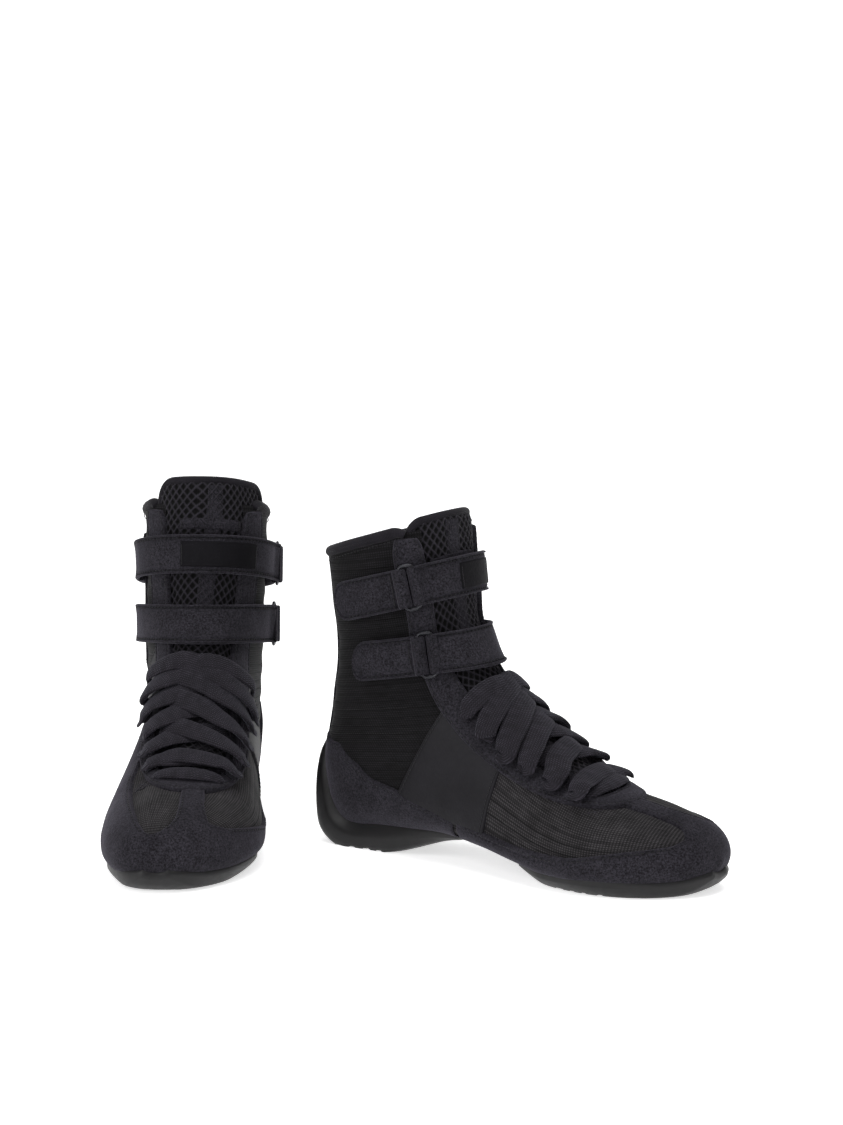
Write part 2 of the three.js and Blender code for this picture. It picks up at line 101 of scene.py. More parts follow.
# The mesh windows in the toe's suede. The left boot's sit further forward and round to the outside.
WINDOWS = {
    "right": dict(outer_rand=RAND_LATERAL, outer_bar=TOE_BAR_LATERAL, inner_rand=RAND_MEDIAL,
                  inner_bar=TOE_BAR_MEDIAL, low=(1.83, 1.88)),
    "left": dict(
        outer_rand=[(2.5, 46), (2.62, 54), (2.8, 61), (3.2, 68), (3.8, 76), (4.4, 84), (5.4, 91), (6.2, 98),
                    (6.75, 106)],
        outer_bar=[(2.5, 46), (2.6, 41), (2.8, 34), (3.1, 27), (3.6, 21)],
        inner_rand=[(1.3, 10), (1.5, 19), (2.1, 27), (3.0, 33), (3.9, 39), (4.5, 41), (4.9, 38)],
        inner_bar=[(1.3, 5), (1.45, -4), (1.8, -12), (2.2, -13), (2.7, -9), (3.2, -5), (3.6, -3)],
        low=(2.48, 1.28)),
}
FOXING_EDGE = [(6.87, 107), (7.9, 102), (9.2, 109), (10, 122), (10.45, 145), (10.7, 176)]
HEEL_RUBBER_EDGE = [(6.7, 148), (7.2, 149), (8, 151), (9, 152), (9.8, 150), (10.3, 156), (10.6, 174)]
HEEL_RUBBER_DEPTH = [(6.7, 0.9), (7.1, 5), (7.6, 11), (8, 15), (8.7, 15), (9.2, 14), (9.5, 10), (9.8, 7),
                     (10.6, 2.4)]
FORE_RUBBER_EDGE = [(0.5, 130), (1, 118), (2, 114), (3, 112), (4, 114), (5, 128), (5.6, 150)]
FORE_RUBBER_DEPTH = [(0.5, 2.4), (1.2, 3.4), (2, 5.2), (3, 6), (4, 6), (5, 6), (5.6, 4)]
STRAPS = {"upper": dict(at=90, height=163, slope=0.27), "lower": dict(at=98, height=123.5, slope=0.17)}
STRAP_HALF = 11.3     # half the width of a strap
STRAP_LAYER = (2.4, 4.4)   # under side and top of a loose strap, over the skin
TAB_LAYER = (1.8, 3.8)
LABEL_HALF = 7.5
RING = dict(gap=10.0, width=8.8, height=26.8, wire=1.9, corner=3.3, lift=4.7)
LACE_ROWS = [4.46, 5.04, 5.62, 6.18, 6.70, 7.20]
BOOTS = {
    "right": dict(x=-45.5, y=20.2, turn=-35, mirrored=False, label=(-46, 12), upper=(56, 116), lower=(48, 103),
                  tongue=-0.40, tongue_edges=(-47, 55), drift=3.0, slack=0.25, bar=4.17),
    "left": dict(x=-123.5, y=132.2, turn=-92, mirrored=True, label=(-12, 50), upper=(94, 143), lower=(91, 141),
                 tongue=0.18, tongue_edges=(-42, 78), drift=8.5, slack=1.0, bar=3.99),
}
MESH_DEPTH = -2.0     # the knit under the skin, mm
MOUTH = (56, 314)     # the angles between which the collar runs
STRAP_START = -83.6   # the angle where the loose straps start


# ---------------------------------------------------------------- the skin
def spline(rows, t):
    last = len(rows) - 1
    i = np.clip(np.floor(t).astype(int), 0, last - 1)
    f = (t - i)[..., None]
    b, c = rows[i], rows[i + 1]
    a = np.where((i > 0)[..., None], rows[np.maximum(i - 1, 0)], 2 * b - c)
    d = np.where((i < last - 1)[..., None], rows[np.minimum(i + 2, last)], 2 * c - b)
    return b + 0.5 * f * (c - a + f * (2 * a - 5 * b + 4 * c - d + f * (3 * (b - c) + d - a)))


def skin(u, phi):
    u, phi = np.broadcast_arrays(np.asarray(u, float), np.asarray(phi, float))
    xt, zt, xb, zb, inside, outside, shift, widest, top, bottom = np.moveaxis(spline(STATIONS, u), -1, 0)
    c, s = np.cos(np.radians(phi)), np.sin(np.radians(phi))
    power = 2 / np.where(c > 0, top, bottom)
    rise = np.sign(c) * np.abs(c) ** power
    side = np.sign(s) * np.abs(s) ** power
    share = widest + rise * np.where(rise > 0, 1 - widest, widest)
    y = shift - side * np.where(s > 0, outside, inside)
    return np.stack([xb + share * (xt - xb), y, zb + share * (zt - zb)], -1)


def unit(v):
    return v / np.maximum(np.linalg.norm(v, axis=-1, keepdims=True), 1e-9)


def outward(u, phi):
    u, phi = np.broadcast_arrays(np.asarray(u, float), np.asarray(phi, float))
    along = skin(u + 0.05, phi) - skin(np.maximum(u - 0.05, 0), phi)
    normal = unit(np.cross(along, skin(u, phi + 1.5) - skin(u, phi - 1.5)))
    centre = (skin(u, 0 * phi) + skin(u, 0 * phi + 180)) / 2
    flip = np.sum(normal * (skin(u, phi) - centre), -1, keepdims=True) < 0
    return np.where(flip, -normal, normal)


def on_skin(u, phi, depth):
    return skin(u, phi) + outward(u, phi) * np.asarray(depth, float)[..., None]


def line(outline):
    """An outline of the CAD, as a smooth curve: angle at station u."""
    us, angles = np.array(outline, float).T
    fine = np.linspace(us[0], us[-1], 160)
    soft = np.interp(fine, us, angles)
    for _ in range(3):
        soft[2:-2] = (soft[:-4] + soft[1:-3] + soft[2:-2] + soft[3:-1] + soft[4:]) / 5
    return lambda u: np.interp(u, fine, soft)


def arc(points):
    steps = np.linalg.norm(np.diff(points, axis=-2), axis=-1)
    return np.concatenate([np.zeros(steps.shape[:-1] + (1,)), np.cumsum(steps, -1)], -1)


NEAR_EDGE = np.array([0, 0.25, 0.6, 1.1, 1.7, 2.3, 3.0])


def spaced(total, count):
    """Places from 0 to total, close together near both ends, as the sewn edges need."""
    near = NEAR_EDGE * min(1, total / (2.4 * NEAR_EDGE[-1]))
    middle = np.linspace(near[-1], total - near[-1], count)
    return np.concatenate([near[:-1], middle, (total - near[:-1])[::-1]])


def band(u0, u1, side_a, side_b, step=1.6):
    """A patch of the skin between two outlines: u, phi and the distances in mm to its four edges."""
    us = np.linspace(u0, u1, 240)
    run = arc(skin(us, (side_a(us) + side_b(us)) / 2))
    at_row = spaced(run[-1], max(3, math.ceil(run[-1] / step)))
    rows = np.interp(at_row, run, us)
    share = np.linspace(0, 1, 121)
    a, b = side_a(rows)[:, None], side_b(rows)[:, None]
    phis = a + (b - a) * share
    lengths = arc(skin(rows[:, None], phis))
    count = max(3, math.ceil(lengths[:, -1].max() / step))
    at = np.array([spaced(total, count) for total in lengths[:, -1]])
    phi = np.array([np.interp(p, q, r) for p, q, r in zip(at, lengths, phis)])
    u = np.repeat(rows[:, None], phi.shape[1], 1)
    start = np.repeat(at_row[:, None], phi.shape[1], 1)
    return dict(u=u, phi=phi, start=start, end=run[-1] - start, a=at, b=lengths[:, -1:] - at)


def sewn(d, low, high, roll=1.1, seam=2.3, pull=0.3):
    """The height of a cut edge that rolls down at its rim, with a seam that pulls it in."""
    rise = np.sqrt(np.clip(1 - (1 - np.clip(d / roll, 0, 1)) ** 2, 0, 1))
    return low + (high - low) * rise - pull * np.exp(-(((d - seam) / 0.5) ** 2))


def ripple(points, size, height, seed):
    """Slow, soft unevenness of cloth: a few crossed waves."""
    turn = np.random.default_rng(seed)
    total = np.zeros(points.shape[:-1])
    for _ in range(5):
        way = unit(turn.normal(size=3)) * 2 * math.pi / (size * turn.uniform(0.7, 1.5))
        total += np.sin(points @ way + turn.uniform(0, 6.28))
    return height * total / 2.4


def sample(at, run, values):
    """Points or normals of a path at distances along it."""
    return np.stack([np.interp(at, run, values[:, k]) for k in range(3)], -1)


def flat(angle):
    """An outline that keeps one angle at every station."""
    return lambda u: angle + 0 * u


def to_row(side, points):
    """Boot millimetres to metres in the row frame."""
    boot = BOOTS[side]
    p = np.array(points, float) * ([1, -1, 1] if boot["mirrored"] else [1, 1, 1])
    t = math.radians(boot["turn"])
    x = boot["x"] + math.cos(t) * p[..., 0] - math.sin(t) * p[..., 1]
    y = boot["y"] + math.sin(t) * p[..., 0] + math.cos(t) * p[..., 1]
    return np.stack([x, y, p[..., 2]], -1) / 1000


def cloth_coords(patch):
    return np.stack([patch["start"], patch["a"]], -1)


def rim_distance(patch):
    """Distance in mm to the nearest of a patch's four edges."""
    return np.minimum(np.minimum(patch["a"], patch["b"]), np.minimum(patch["start"], patch["end"]))


# ---------------------------------------------------------------- meshes
class Piece:
    """Grids and threads in boot millimetres, turned into one Blender mesh at the end."""

    def __init__(self):
        self.points, self.coords, self.tints, self.faces, self.looks = [], [], [], [], []
        self.count = 0

    def add(self, points, coords, faces, look=0, tint=None):
        points = points.reshape(-1, 3)
        self.points.append(points)
        self.coords.append(coords.reshape(-1, 2))
        self.tints.append(np.zeros(len(points)) if tint is None else tint.ravel())
        self.faces.append(faces + self.count)
        self.looks.append(np.full(len(faces), look))
        self.count += len(points)

    def grid(self, points, coords, look=0, tint=None, keep=None, round_it=False):
        rows, wide = points.shape[:2]
        index = np.arange(rows * wide).reshape(rows, wide)
        if round_it:
            index = np.concatenate([index, index[:, :1]], 1)
        quads = np.stack([index[:-1, :-1], index[:-1, 1:], index[1:, 1:], index[1:, :-1]], -1)
        quads = quads[keep] if keep is not None else quads.reshape(-1, 4)
        self.add(points, coords, quads, look, tint)

    def capped(self, points, coords, look=0, tint=None):
        """A closed body from rings of points, n x m x 3, with a flat fan at both ends."""
        rows, wide = points.shape[:2]
        self.grid(points, coords, look, tint, round_it=True)
        for row in (0, rows - 1):
            ring = np.concatenate([points[row], points[row].mean(0)[None]])
            fan = np.array([[i, (i + 1) % wide, wide, wide] for i in range(wide)])
            self.add(ring, np.repeat(coords[row, :1], wide + 1, 0), fan, look)

    def stitches(self, path, normals, look=1, pitch=3.0, length=2.1, radius=0.3):
        """A row of thread stitches along a path."""
        run = arc(path)
        total = run[-1]
        if total < 2 * pitch:
            return
        middles = np.arange(pitch / 2, total - pitch / 2, pitch)
        spots = []
        for offset, swell in ((-0.5, 0.25), (-0.3, 0.95), (0.3, 0.95), (0.5, 0.25)):
            at = middles + offset * length
            spots.append((sample(at, run, path), unit(sample(at, run, normals)), swell))
        tangent = unit(spots[3][0] - spots[0][0])
        rings = []
        for place, up, swell in spots:
            across = unit(np.cross(tangent, up))
            for turn in (20, 90, 160, 270):
                c, s = math.cos(math.radians(turn)), math.sin(math.radians(turn))
                rings.append(place + up * (0.05 + s * radius * swell) + across * c * radius * 1.1 * swell)
        block = np.stack(rings, 1)
        quads = np.array([[4 * k + j, 4 * k + (j + 1) % 4, 4 * k + 4 + (j + 1) % 4, 4 * k + 4 + j]
                          for k in range(3) for j in range(4)])
        faces = (np.arange(len(middles))[:, None, None] * 16 + quads).reshape(-1, 4)
        self.add(block, np.zeros((block.shape[0] * 16, 2)), faces, look)

    def seam(self, patch, edge, inset, depth, pitch=3.0, look=1):
        """Stitches at a distance inside one edge of a patch from band(): start, end, a or b."""
        if edge in ("a", "b"):
            d, u, phi, h = patch[edge], patch["u"], patch["phi"], depth
        else:
            d, u, phi, h = patch[edge].T, patch["u"].T, patch["phi"].T, depth.T
        if d[0, 0] > d[0, -1]:
            d, u, phi, h = d[:, ::-1], u[:, ::-1], phi[:, ::-1], h[:, ::-1]
        pick = lambda values: np.array([np.interp(inset, p, q) for p, q in zip(d, values)])
        us, phis, hs = pick(u), pick(phi), pick(h)
        self.stitches(on_skin(us, phis, hs), outward(us, phis), look, pitch)

    def sheet(self, patch, depth, seams=(), inset=2.3, pitch=3.0):
        """A patch of cloth or leather at a depth under or over the skin, with stitched edges."""
        self.grid(on_skin(patch["u"], patch["phi"], depth), cloth_coords(patch))
        for edge in seams:
            self.seam(patch, edge, inset, depth, pitch)

    def build(self, name, side, body, nodes, looks):
        points = to_row(side, np.concatenate(self.points))
        coords, tints = np.concatenate(self.coords), np.concatenate(self.tints)
        mesh = bpy.data.meshes.new(name)
        polygons = [tuple(dict.fromkeys(f)) for f in np.concatenate(self.faces).tolist()]
        mesh.from_pydata(points.tolist(), [], polygons)
        mesh.polygons.foreach_set("material_index", np.concatenate(self.looks).astype(np.int32))
        layer = mesh.uv_layers.new(name="cloth")
        corner = np.zeros(len(mesh.loops), np.int32)
        mesh.loops.foreach_get("vertex_index", corner)
        layer.data.foreach_set("uv", (coords[corner] / 1000).astype(np.float32).ravel())
        shade = mesh.attributes.new("shade", "FLOAT", "POINT")
        shade.data.foreach_set("value", tints.astype(np.float32))
        work = bmesh.new()
        work.from_mesh(mesh)
        bmesh.ops.remove_doubles(work, verts=work.verts, dist=1e-6)
        loose = [v for v in work.verts if not v.link_faces]
        bmesh.ops.delete(work, geom=loose, context="VERTS")
        bmesh.ops.recalc_face_normals(work, faces=work.faces)
        work.to_mesh(mesh)
        work.free()
        mesh.polygons.foreach_set("use_smooth", np.full(len(mesh.polygons), True))
        obj = bpy.data.objects.new(f"{side}_{name}", mesh)
        bpy.context.scene.collection.objects.link(obj)
        for look in looks:
            mesh.materials.append(look)
        if body:
            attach(obj, f"{side}_{body}")
        if nodes:
            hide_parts(*[f"{side}_{n}" for n in nodes])
        return obj


# ---------------------------------------------------------------- materials
class Look:
    """A small builder of node materials: every texture is procedural."""

    def __init__(self, name, rough=0.8, metal=0.0, sheen=0.0, specular=0.4, tint=(1, 1, 1)):
        self.material = bpy.data.materials.new(name)
        self.material.use_nodes = True
        self.tree = self.material.node_tree
        self.shader = self.tree.nodes["Principled BSDF"]
        settings = {"Roughness": rough, "Metallic": metal, "Sheen Weight": sheen, "Sheen Roughness": 0.4,
                    "Sheen Tint": (*tint, 1), "Specular IOR Level": specular}
        for key, value in settings.items():
            self.shader.inputs[key].default_value = value
        self.place = self.tree.nodes.new("ShaderNodeTexCoord")
        split = self.node("ShaderNodeSeparateXYZ")
        self.link(self.place.outputs["UV"], split.inputs[0])
        self.along, self.across = split.outputs[0], split.outputs[1]

    def node(self, kind, **values):
        made = self.tree.nodes.new(kind)
        for key, value in values.items():
            setattr(made, key, value)
        return made

    def link(self, a, b):
        self.tree.links.new(a, b)

    def math(self, operation, a, b=None):
        made = self.node("ShaderNodeMath", operation=operation)
        for socket, value in zip(made.inputs, (a, b)):
            if isinstance(value, (int, float)):
                socket.default_value = value
            elif value is not None:
                self.link(value, socket)
        return made.outputs[0]

    def noise(self, size_mm, detail=3.0, rough=0.55):
        made = self.node("ShaderNodeTexNoise")
        made.inputs["Scale"].default_value = 1000 / size_mm
        made.inputs["Detail"].default_value = detail
        made.inputs["Roughness"].default_value = rough
        self.link(self.place.outputs["Object"], made.inputs["Vector"])
        return made.outputs["Fac"]

    def cells(self, size_mm):
        made = self.node("ShaderNodeTexVoronoi")
        made.inputs["Scale"].default_value = 1000 / size_mm
        self.link(self.place.outputs["Object"], made.inputs["Vector"])
        return made.outputs["Distance"]

    def wave(self, value, pitch_mm):
        """A smooth 0 to 1 wave along a length in metres."""
        turned = self.math("MULTIPLY", value, 2000 * math.pi / pitch_mm)
        made = self.node("ShaderNodeMath", operation="MULTIPLY_ADD")
        self.link(self.math("SINE", turned), made.inputs[0])
        made.inputs[1].default_value = 0.5
        made.inputs[2].default_value = 0.5
        return made.outputs[0]

    def shade(self):
        made = self.node("ShaderNodeAttribute", attribute_name="shade")
        return made.outputs["Fac"]

    def weave(self, along_mm, across_mm):
        """Crossed yarns."""
        return self.math("MULTIPLY", self.wave(self.along, along_mm), self.wave(self.across, across_mm))

    def uneven(self, size_mm, detail, share, base):
        """A value that wanders up from a base."""
        return self.math("ADD", self.math("MULTIPLY", self.noise(size_mm, detail), share), base)

    def tones(self, size_mm, detail, low, high):
        """Slow patches between two colours."""
        return self.ramp(self.noise(size_mm, detail), [(0.3, low), (0.7, high)])

    def ramp(self, value, stops):
        made = self.node("ShaderNodeValToRGB")
        self.link(value, made.inputs[0])
        ramp = made.color_ramp
        while len(ramp.elements) < len(stops):
            ramp.elements.new(0.5)
        for element, (at, colour) in zip(ramp.elements, stops):
            element.position = at
            element.color = (*colour, 1)
        return made.outputs["Color"]

    def mix(self, share, a, b, how="MIX"):
        made = self.node("ShaderNodeMix", data_type="RGBA", blend_type=how)
        for socket, value in ((made.inputs[0], share), (made.inputs[6], a), (made.inputs[7], b)):
            if isinstance(value, (int, float)):
                socket.default_value = value
            elif isinstance(value, tuple):
                socket.default_value = (*value, 1)
            else:
                self.link(value, socket)
        return made.outputs[2]

    def bump(self, height, depth_mm, strength=1.0, under=None):
        made = self.node("ShaderNodeBump")
        made.inputs["Strength"].default_value = strength
        made.inputs["Distance"].default_value = depth_mm / 1000
        self.link(height, made.inputs["Height"])
        if under is not None:
            self.link(under, made.inputs["Normal"])
        return made.outputs["Normal"]

    def finish(self, colour, normal=None, rough=None):
        self.link(colour, self.shader.inputs["Base Color"])
        if normal is not None:
            self.link(normal, self.shader.inputs["Normal"])
        if rough is not None:
            self.link(rough, self.shader.inputs["Roughness"])
        return self.material


def grey(level, blue=1.17, green=0.93):
    return (level, level * green, level * blue)


def suede(name="suede", level=0.0138):
    look = Look(name, rough=0.95, sheen=0.12, specular=0.1, tint=(0.62, 0.58, 0.72))
    patches = look.ramp(look.noise(14, 3), [(0.35, grey(level * 0.84)), (0.62, grey(level * 1.16))])
    nap = look.ramp(look.noise(1.1, 5, 0.8), [(0.36, (0.05, 0.05, 0.05)), (0.66, (2.05, 2.05, 2.05))])
    colour = look.mix(0.95, patches, nap, "MULTIPLY")
    normal = look.bump(look.noise(0.8, 4, 0.7), 0.2, 0.7, look.bump(look.noise(9, 2), 0.7, 0.5))
    return look.finish(colour, normal)


def knit(name, pitch, level, blue=1.08):
    """Fine knitted mesh, quilted by thin grooves across the V coordinate, each groove darkened with painted shade.
    The shade attribute fades them.
    """
    look = Look(name, rough=0.9, sheen=0.06, specular=0.12)
    groove = look.math("MULTIPLY", look.math("POWER", look.wave(look.across, pitch), 12), look.shade())
    stretch = look.node("ShaderNodeMapping")
    stretch.inputs["Scale"].default_value = (0.12, 1, 1)
    look.link(look.place.outputs["UV"], stretch.inputs["Vector"])
    streaks = look.node("ShaderNodeTexNoise")
    streaks.inputs["Scale"].default_value = 1000 / 1.1
    streaks.inputs["Detail"].default_value = 4
    look.link(stretch.outputs[0], streaks.inputs["Vector"])
    yarn = look.weave(1.6, 1.3)
    grain = look.math("ADD", look.math("MULTIPLY", yarn, 0.7), look.math("MULTIPLY", streaks.outputs["Fac"], 0.75))
    grain = look.math("MULTIPLY", grain, look.math("ADD", look.noise(16, 3), 0.5))
    colour = look.ramp(grain, [(0.2, grey(level * 0.2, blue)), (0.55, grey(level, blue)),
                               (0.95, grey(level * 2.8, blue))])
    # Painted shade: inside each groove the colour is pulled towards near black, standing in for the shade in the
    # groove.
    colour = look.mix(look.math("MULTIPLY", groove, 0.7), colour, grey(level * 0.08))
    normal = look.bump(look.math("SUBTRACT", 1, groove), 0.6, 0.8)
    return look.finish(colour, look.bump(yarn, 0.25, 0.6, normal))


def open_mesh(name="open_mesh", level=0.0115):
    """The tongue's diamond netting: the shade attribute paints its holes near black, as painted shade in the
    hollows.
    """
    look = Look(name, rough=0.85, sheen=0.08, specular=0.12)
    # Painted shade: where the shade attribute is low, in the holes, the colour drops to near black.
    colour = look.ramp(look.shade(), [(0.0, grey(level * 0.02)), (0.4, grey(level * 0.2)),
                                      (1.0, grey(level * 1.9))])
    yarn = look.weave(0.7, 0.7)
    colour = look.mix(0.45, colour, look.ramp(yarn, [(0, grey(0.5, 1)), (1, grey(1.3, 1))]), "MULTIPLY")
    return look.finish(colour, look.bump(yarn, 0.2, 0.7))


def leather(name="leather", level=0.0075, gloss=0.14):
    look = Look(name, rough=0.5, specular=gloss)
    colour = look.tones(18, 3, grey(level * 0.85), grey(level * 1.15))
    normal = look.bump(look.cells(1.4), 0.2, 0.6, look.bump(look.noise(16, 3), 0.8, 0.5))
    return look.finish(colour, normal, look.uneven(2.5, 3, 0.2, 0.5))


def rubber(name="rubber", level=0.005):
    look = Look(name, rough=0.5, specular=0.25)
    colour = look.tones(20, 4, grey(level * 0.8, 1.04), grey(level * 1.25, 1.04))
    return look.finish(colour, look.bump(look.noise(1.4, 3), 0.06, 0.5), look.uneven(4, 4, 0.25, 0.34))


def woven(name, level, pitch=0.8):
    look = Look(name, rough=0.9, sheen=0.08, specular=0.1)
    yarn = look.weave(pitch, pitch)
    colour = look.mix(0.6, look.tones(12, 3, grey(level * 0.8), grey(level * 1.3)),
                      look.ramp(yarn, [(0, grey(0.6, 1)), (1, grey(1.5, 1))]), "MULTIPLY")
    return look.finish(colour, look.bump(yarn, 0.12, 0.6))


def laced(name="lace", level=0.0108):
    """Flat plait: yarns slant to both sides of the lace's middle."""
    look = Look(name, rough=0.85, sheen=0.1, specular=0.12, tint=(0.62, 0.62, 0.75))
    slant = look.math("ADD", look.along, look.math("MULTIPLY", look.math("ABSOLUTE", look.across), 0.9))
    other = look.math("SUBTRACT", look.along, look.math("MULTIPLY", look.across, 1.1))
    plait = look.math("MULTIPLY", look.wave(slant, 1.5), look.wave(other, 1.9))
    strands = look.wave(look.across, 1.5)
    yarn = look.math("MULTIPLY", look.math("ADD", plait, 0.25), look.math("ADD", strands, 0.35))
    worn = look.tones(7, 3, grey(level * 0.75), grey(level * 1.25))
    colour = look.mix(0.85, worn, look.ramp(yarn, [(0.05, grey(0.35, 1)), (0.9, grey(1.9, 1))]), "MULTIPLY")
    return look.finish(colour, look.bump(yarn, 0.35, 0.8))


def metal(name="gunmetal"):
    look = Look(name, rough=0.3, metal=1.0)
    colour = look.tones(6, 3, (0.02, 0.02, 0.022), (0.045, 0.045, 0.05))
    return look.finish(colour, look.bump(look.noise(0.6, 2), 0.02, 0.3), look.uneven(1.5, 3, 0.15, 0.22))


def thread(name="thread", level=0.004):
    look = Look(name, rough=0.7, sheen=0.05, specular=0.2)
    colour = look.tones(0.5, 2, grey(level * 0.7), grey(level * 1.3))
    return look.finish(colour, look.bump(look.noise(0.3, 2), 0.05, 0.5))


def board(name, low, high, size):
    look = Look(name, rough=0.9, specular=0.2)
    return look.finish(look.tones(size, 4, low, high), look.bump(look.noise(1.0, 4), 0.1, 0.5))


SUEDE, STRAP_SUEDE = suede(), suede("strap_suede", 0.0128)
FORE_KNIT, SHAFT_KNIT = knit("forefoot_knit", 5.6, 0.0145, 1.0), knit("shaft_knit", 5.1, 0.0037)
NET, LEATHER, PATCH = open_mesh(), leather(), leather("patch_leather", 0.0045, 0.05)
RUBBER, BINDING, LINING = rubber(), woven("binding", 0.009), woven("lining", 0.007, 1.1)
LACE, METAL, THREAD = laced(), metal(), thread()
FIBRE = board("insole_fibre", (0.40, 0.33, 0.24), (0.52, 0.44, 0.33), 5)
SHELL = board("stiffener_sheet", (0.58, 0.55, 0.48), (0.68, 0.65, 0.58), 8)

inner_of, outer_of = line(EYESTAY_INNER), line(EYESTAY_OUTER)
rand_lateral, foxing = line(RAND_LATERAL), line(FOXING_EDGE)
heel_edge, fore_edge = line(HEEL_RUBBER_EDGE), line(FORE_RUBBER_EDGE)
heel_depth, fore_depth = line(HEEL_RUBBER_DEPTH), line(FORE_RUBBER_DEPTH)


# ---------------------------------------------------------------- knitted base
def throat_angle(u):
    """Half the opening for the tongue, a little wider than the eyestay's throat edge."""
    return np.where(u < 4.02, 0, np.minimum(inner_of(u), 34) + 1.5)


def knitted(side):
    for name, nodes, u0, u1 in (("vamp_knit", ["vamp_mesh"], 0.6, 7.12),
                                ("shaft_knit", ["lateral_quarter", "medial_quarter"], 7.12, 14.02)):
        patch = band(u0, u1, lambda u: SKEW + throat_angle(u), lambda u: SKEW + 360 - throat_angle(u), 1.7)
        u, phi = patch["u"], patch["phi"]
        base = skin(u, phi)
        around = np.where(phi > 180, phi - 360, phi)
        if name == "vamp_knit":
            coords = np.stack([patch["start"], around * 0.62 + ripple(base, 60, 0.35, 5)], -1)
            grooves = np.clip((np.abs(around) - 44) / 30, 0, 1) * np.clip((u - 2.2) / 1.5, 0.25, 1)
            look = FORE_KNIT
        else:
            coords = np.stack([patch["a"], base[..., 2] - 0.16 * (base[..., 0] - 90) + ripple(base, 45, 0.9, 6)], -1)
            grooves = 0.75 + ripple(base, 30, 0.3, 8)
            look = SHAFT_KNIT
        depth = MESH_DEPTH + ripple(base, 34, 0.35, 3) + 0.25 * np.sin(coords[..., 1] * 2 * math.pi / 15.3)
        piece = Piece()
        # The groove strength goes into the shade attribute, which sets both the grooves' bump and their painted
        # shade.
        piece.grid(on_skin(u, phi, depth), coords, tint=np.clip(grooves, 0, 1))
        piece.grid(on_skin(u, phi, np.full_like(u, -3.6)), coords)
        piece.build(name, side, "boot", nodes, [look])


# ---------------------------------------------------------------- suede round the toe
def gap(edge, u, phi, per_degree, per_station):
    """Distance in mm, across the outline, from an outline's angle."""
    slope = (edge(u + 0.03) - edge(u - 0.03)) / 0.06 * per_degree / per_station
    return (phi - edge(u)) * per_degree / np.sqrt(1 + np.minimum(slope, 30) ** 2)


def toe_suede(side):
    us = np.concatenate([np.linspace(0.02, 1.6, 46)[:-1], np.linspace(1.6, 6.63, 190)])
    phis = np.concatenate([np.linspace(-180, -70, 70)[:-1], np.linspace(-70, 120, 260)[:-1],
                           np.linspace(120, 180, 36)])
    u, phi = np.meshgrid(us, phis, indexing="ij")
    around = np.linalg.norm(skin(u, phi + 1) - skin(u, phi - 1), axis=-1) / 2
    along = np.linalg.norm(skin(u + 0.05, phi) - skin(np.maximum(u - 0.05, 0), phi), axis=-1) / 0.1
    step = lambda edge: gap(edge, u, phi, around, along)
    windows = WINDOWS[side]
    outer_rand, outer_bar, inner_rand, inner_bar = (
        line(windows[k]) for k in ("outer_rand", "outer_bar", "inner_rand", "inner_bar"))
    outer_low, inner_low = windows["low"]
    lateral = np.minimum(step(outer_bar), -step(outer_rand))
    medial = np.minimum(-step(lambda v: -inner_bar(v)), step(lambda v: -inner_rand(v)))
    lateral = np.where(u > outer_low, lateral, -9)
    medial = np.where((u > inner_low) & (u < 5.0), medial, -9)
    window = -np.maximum(lateral, medial)
    depth = sewn(window, -2.9, 0, 1.3)
    throat = np.abs(phi - SKEW) - (inner_of(u) + outer_of(u)) / 2
    depth = np.where((u > 3.6) & (throat < 0), -2.6, depth)
    near_eyestay = np.clip(1 - np.abs(throat * around) / 5, 0, 1) * np.clip((u - 3.5) / 0.3, 0, 1)
    depth = np.minimum(depth, depth - 0.8 * near_eyestay)
    end = (6.63 - u) * along
    depth = np.where(end < 1.0, np.minimum(depth, -0.7 * (1 - end / 1.0)), depth)
    depth = depth + ripple(skin(u, phi), 24, 0.22, 11) * np.clip(window / 4, 0, 1)
    coords = np.stack([u * 20, phi * 0.6], -1)
    alive = depth > -2.85
    keep = alive[:-1, :-1] | alive[1:, :-1] | alive[:-1, 1:] | alive[1:, 1:]
    piece = Piece()
    cap = on_skin(u, phi, depth)
    cap[0] = cap[0].mean(0)
    piece.grid(cap, coords, keep=keep)
    for edge, sign, offset, low, high in ((outer_rand, 1, 2.3, outer_low + 0.25, 6.55),
                                          (outer_bar, 1, -2.0, outer_low + 0.15, 3.3),
                                          (inner_rand, -1, 2.3, inner_low + 0.2, 4.7),
                                          (inner_bar, -1, -2.0, inner_low + 0.3, 3.3)):
        v = np.linspace(low, high, 200)
        degree = np.linalg.norm(skin(v, sign * edge(v) + 1) - skin(v, sign * edge(v) - 1), axis=-1) / 2
        a = sign * (edge(v) + offset / degree)
        piece.stitches(on_skin(v, a, np.full_like(v, -0.2)), outward(v, a))
    piece.build("toe_suede", side, "boot", ["toe_rand"], [SUEDE, THREAD])


def heel_suede(side):
    patch = band(6.70, 10.68, foxing, lambda u: 360 - foxing(u), 1.6)
    d = np.minimum(patch["a"], patch["b"])
    base = skin(patch["u"], patch["phi"])
    depth = sewn(d, -2.2, 0, 1.2)
    depth = np.minimum(depth, np.where(patch["start"] < 1, -0.7 * (1 - patch["start"]), 9))
    depth = depth + ripple(base, 30, 0.25, 12) * np.clip(d / 4, 0, 1)
    piece = Piece()
    piece.sheet(patch, depth, "ab")
    piece.build("heel_suede", side, "boot", ["heel_foxing"], [SUEDE, THREAD])


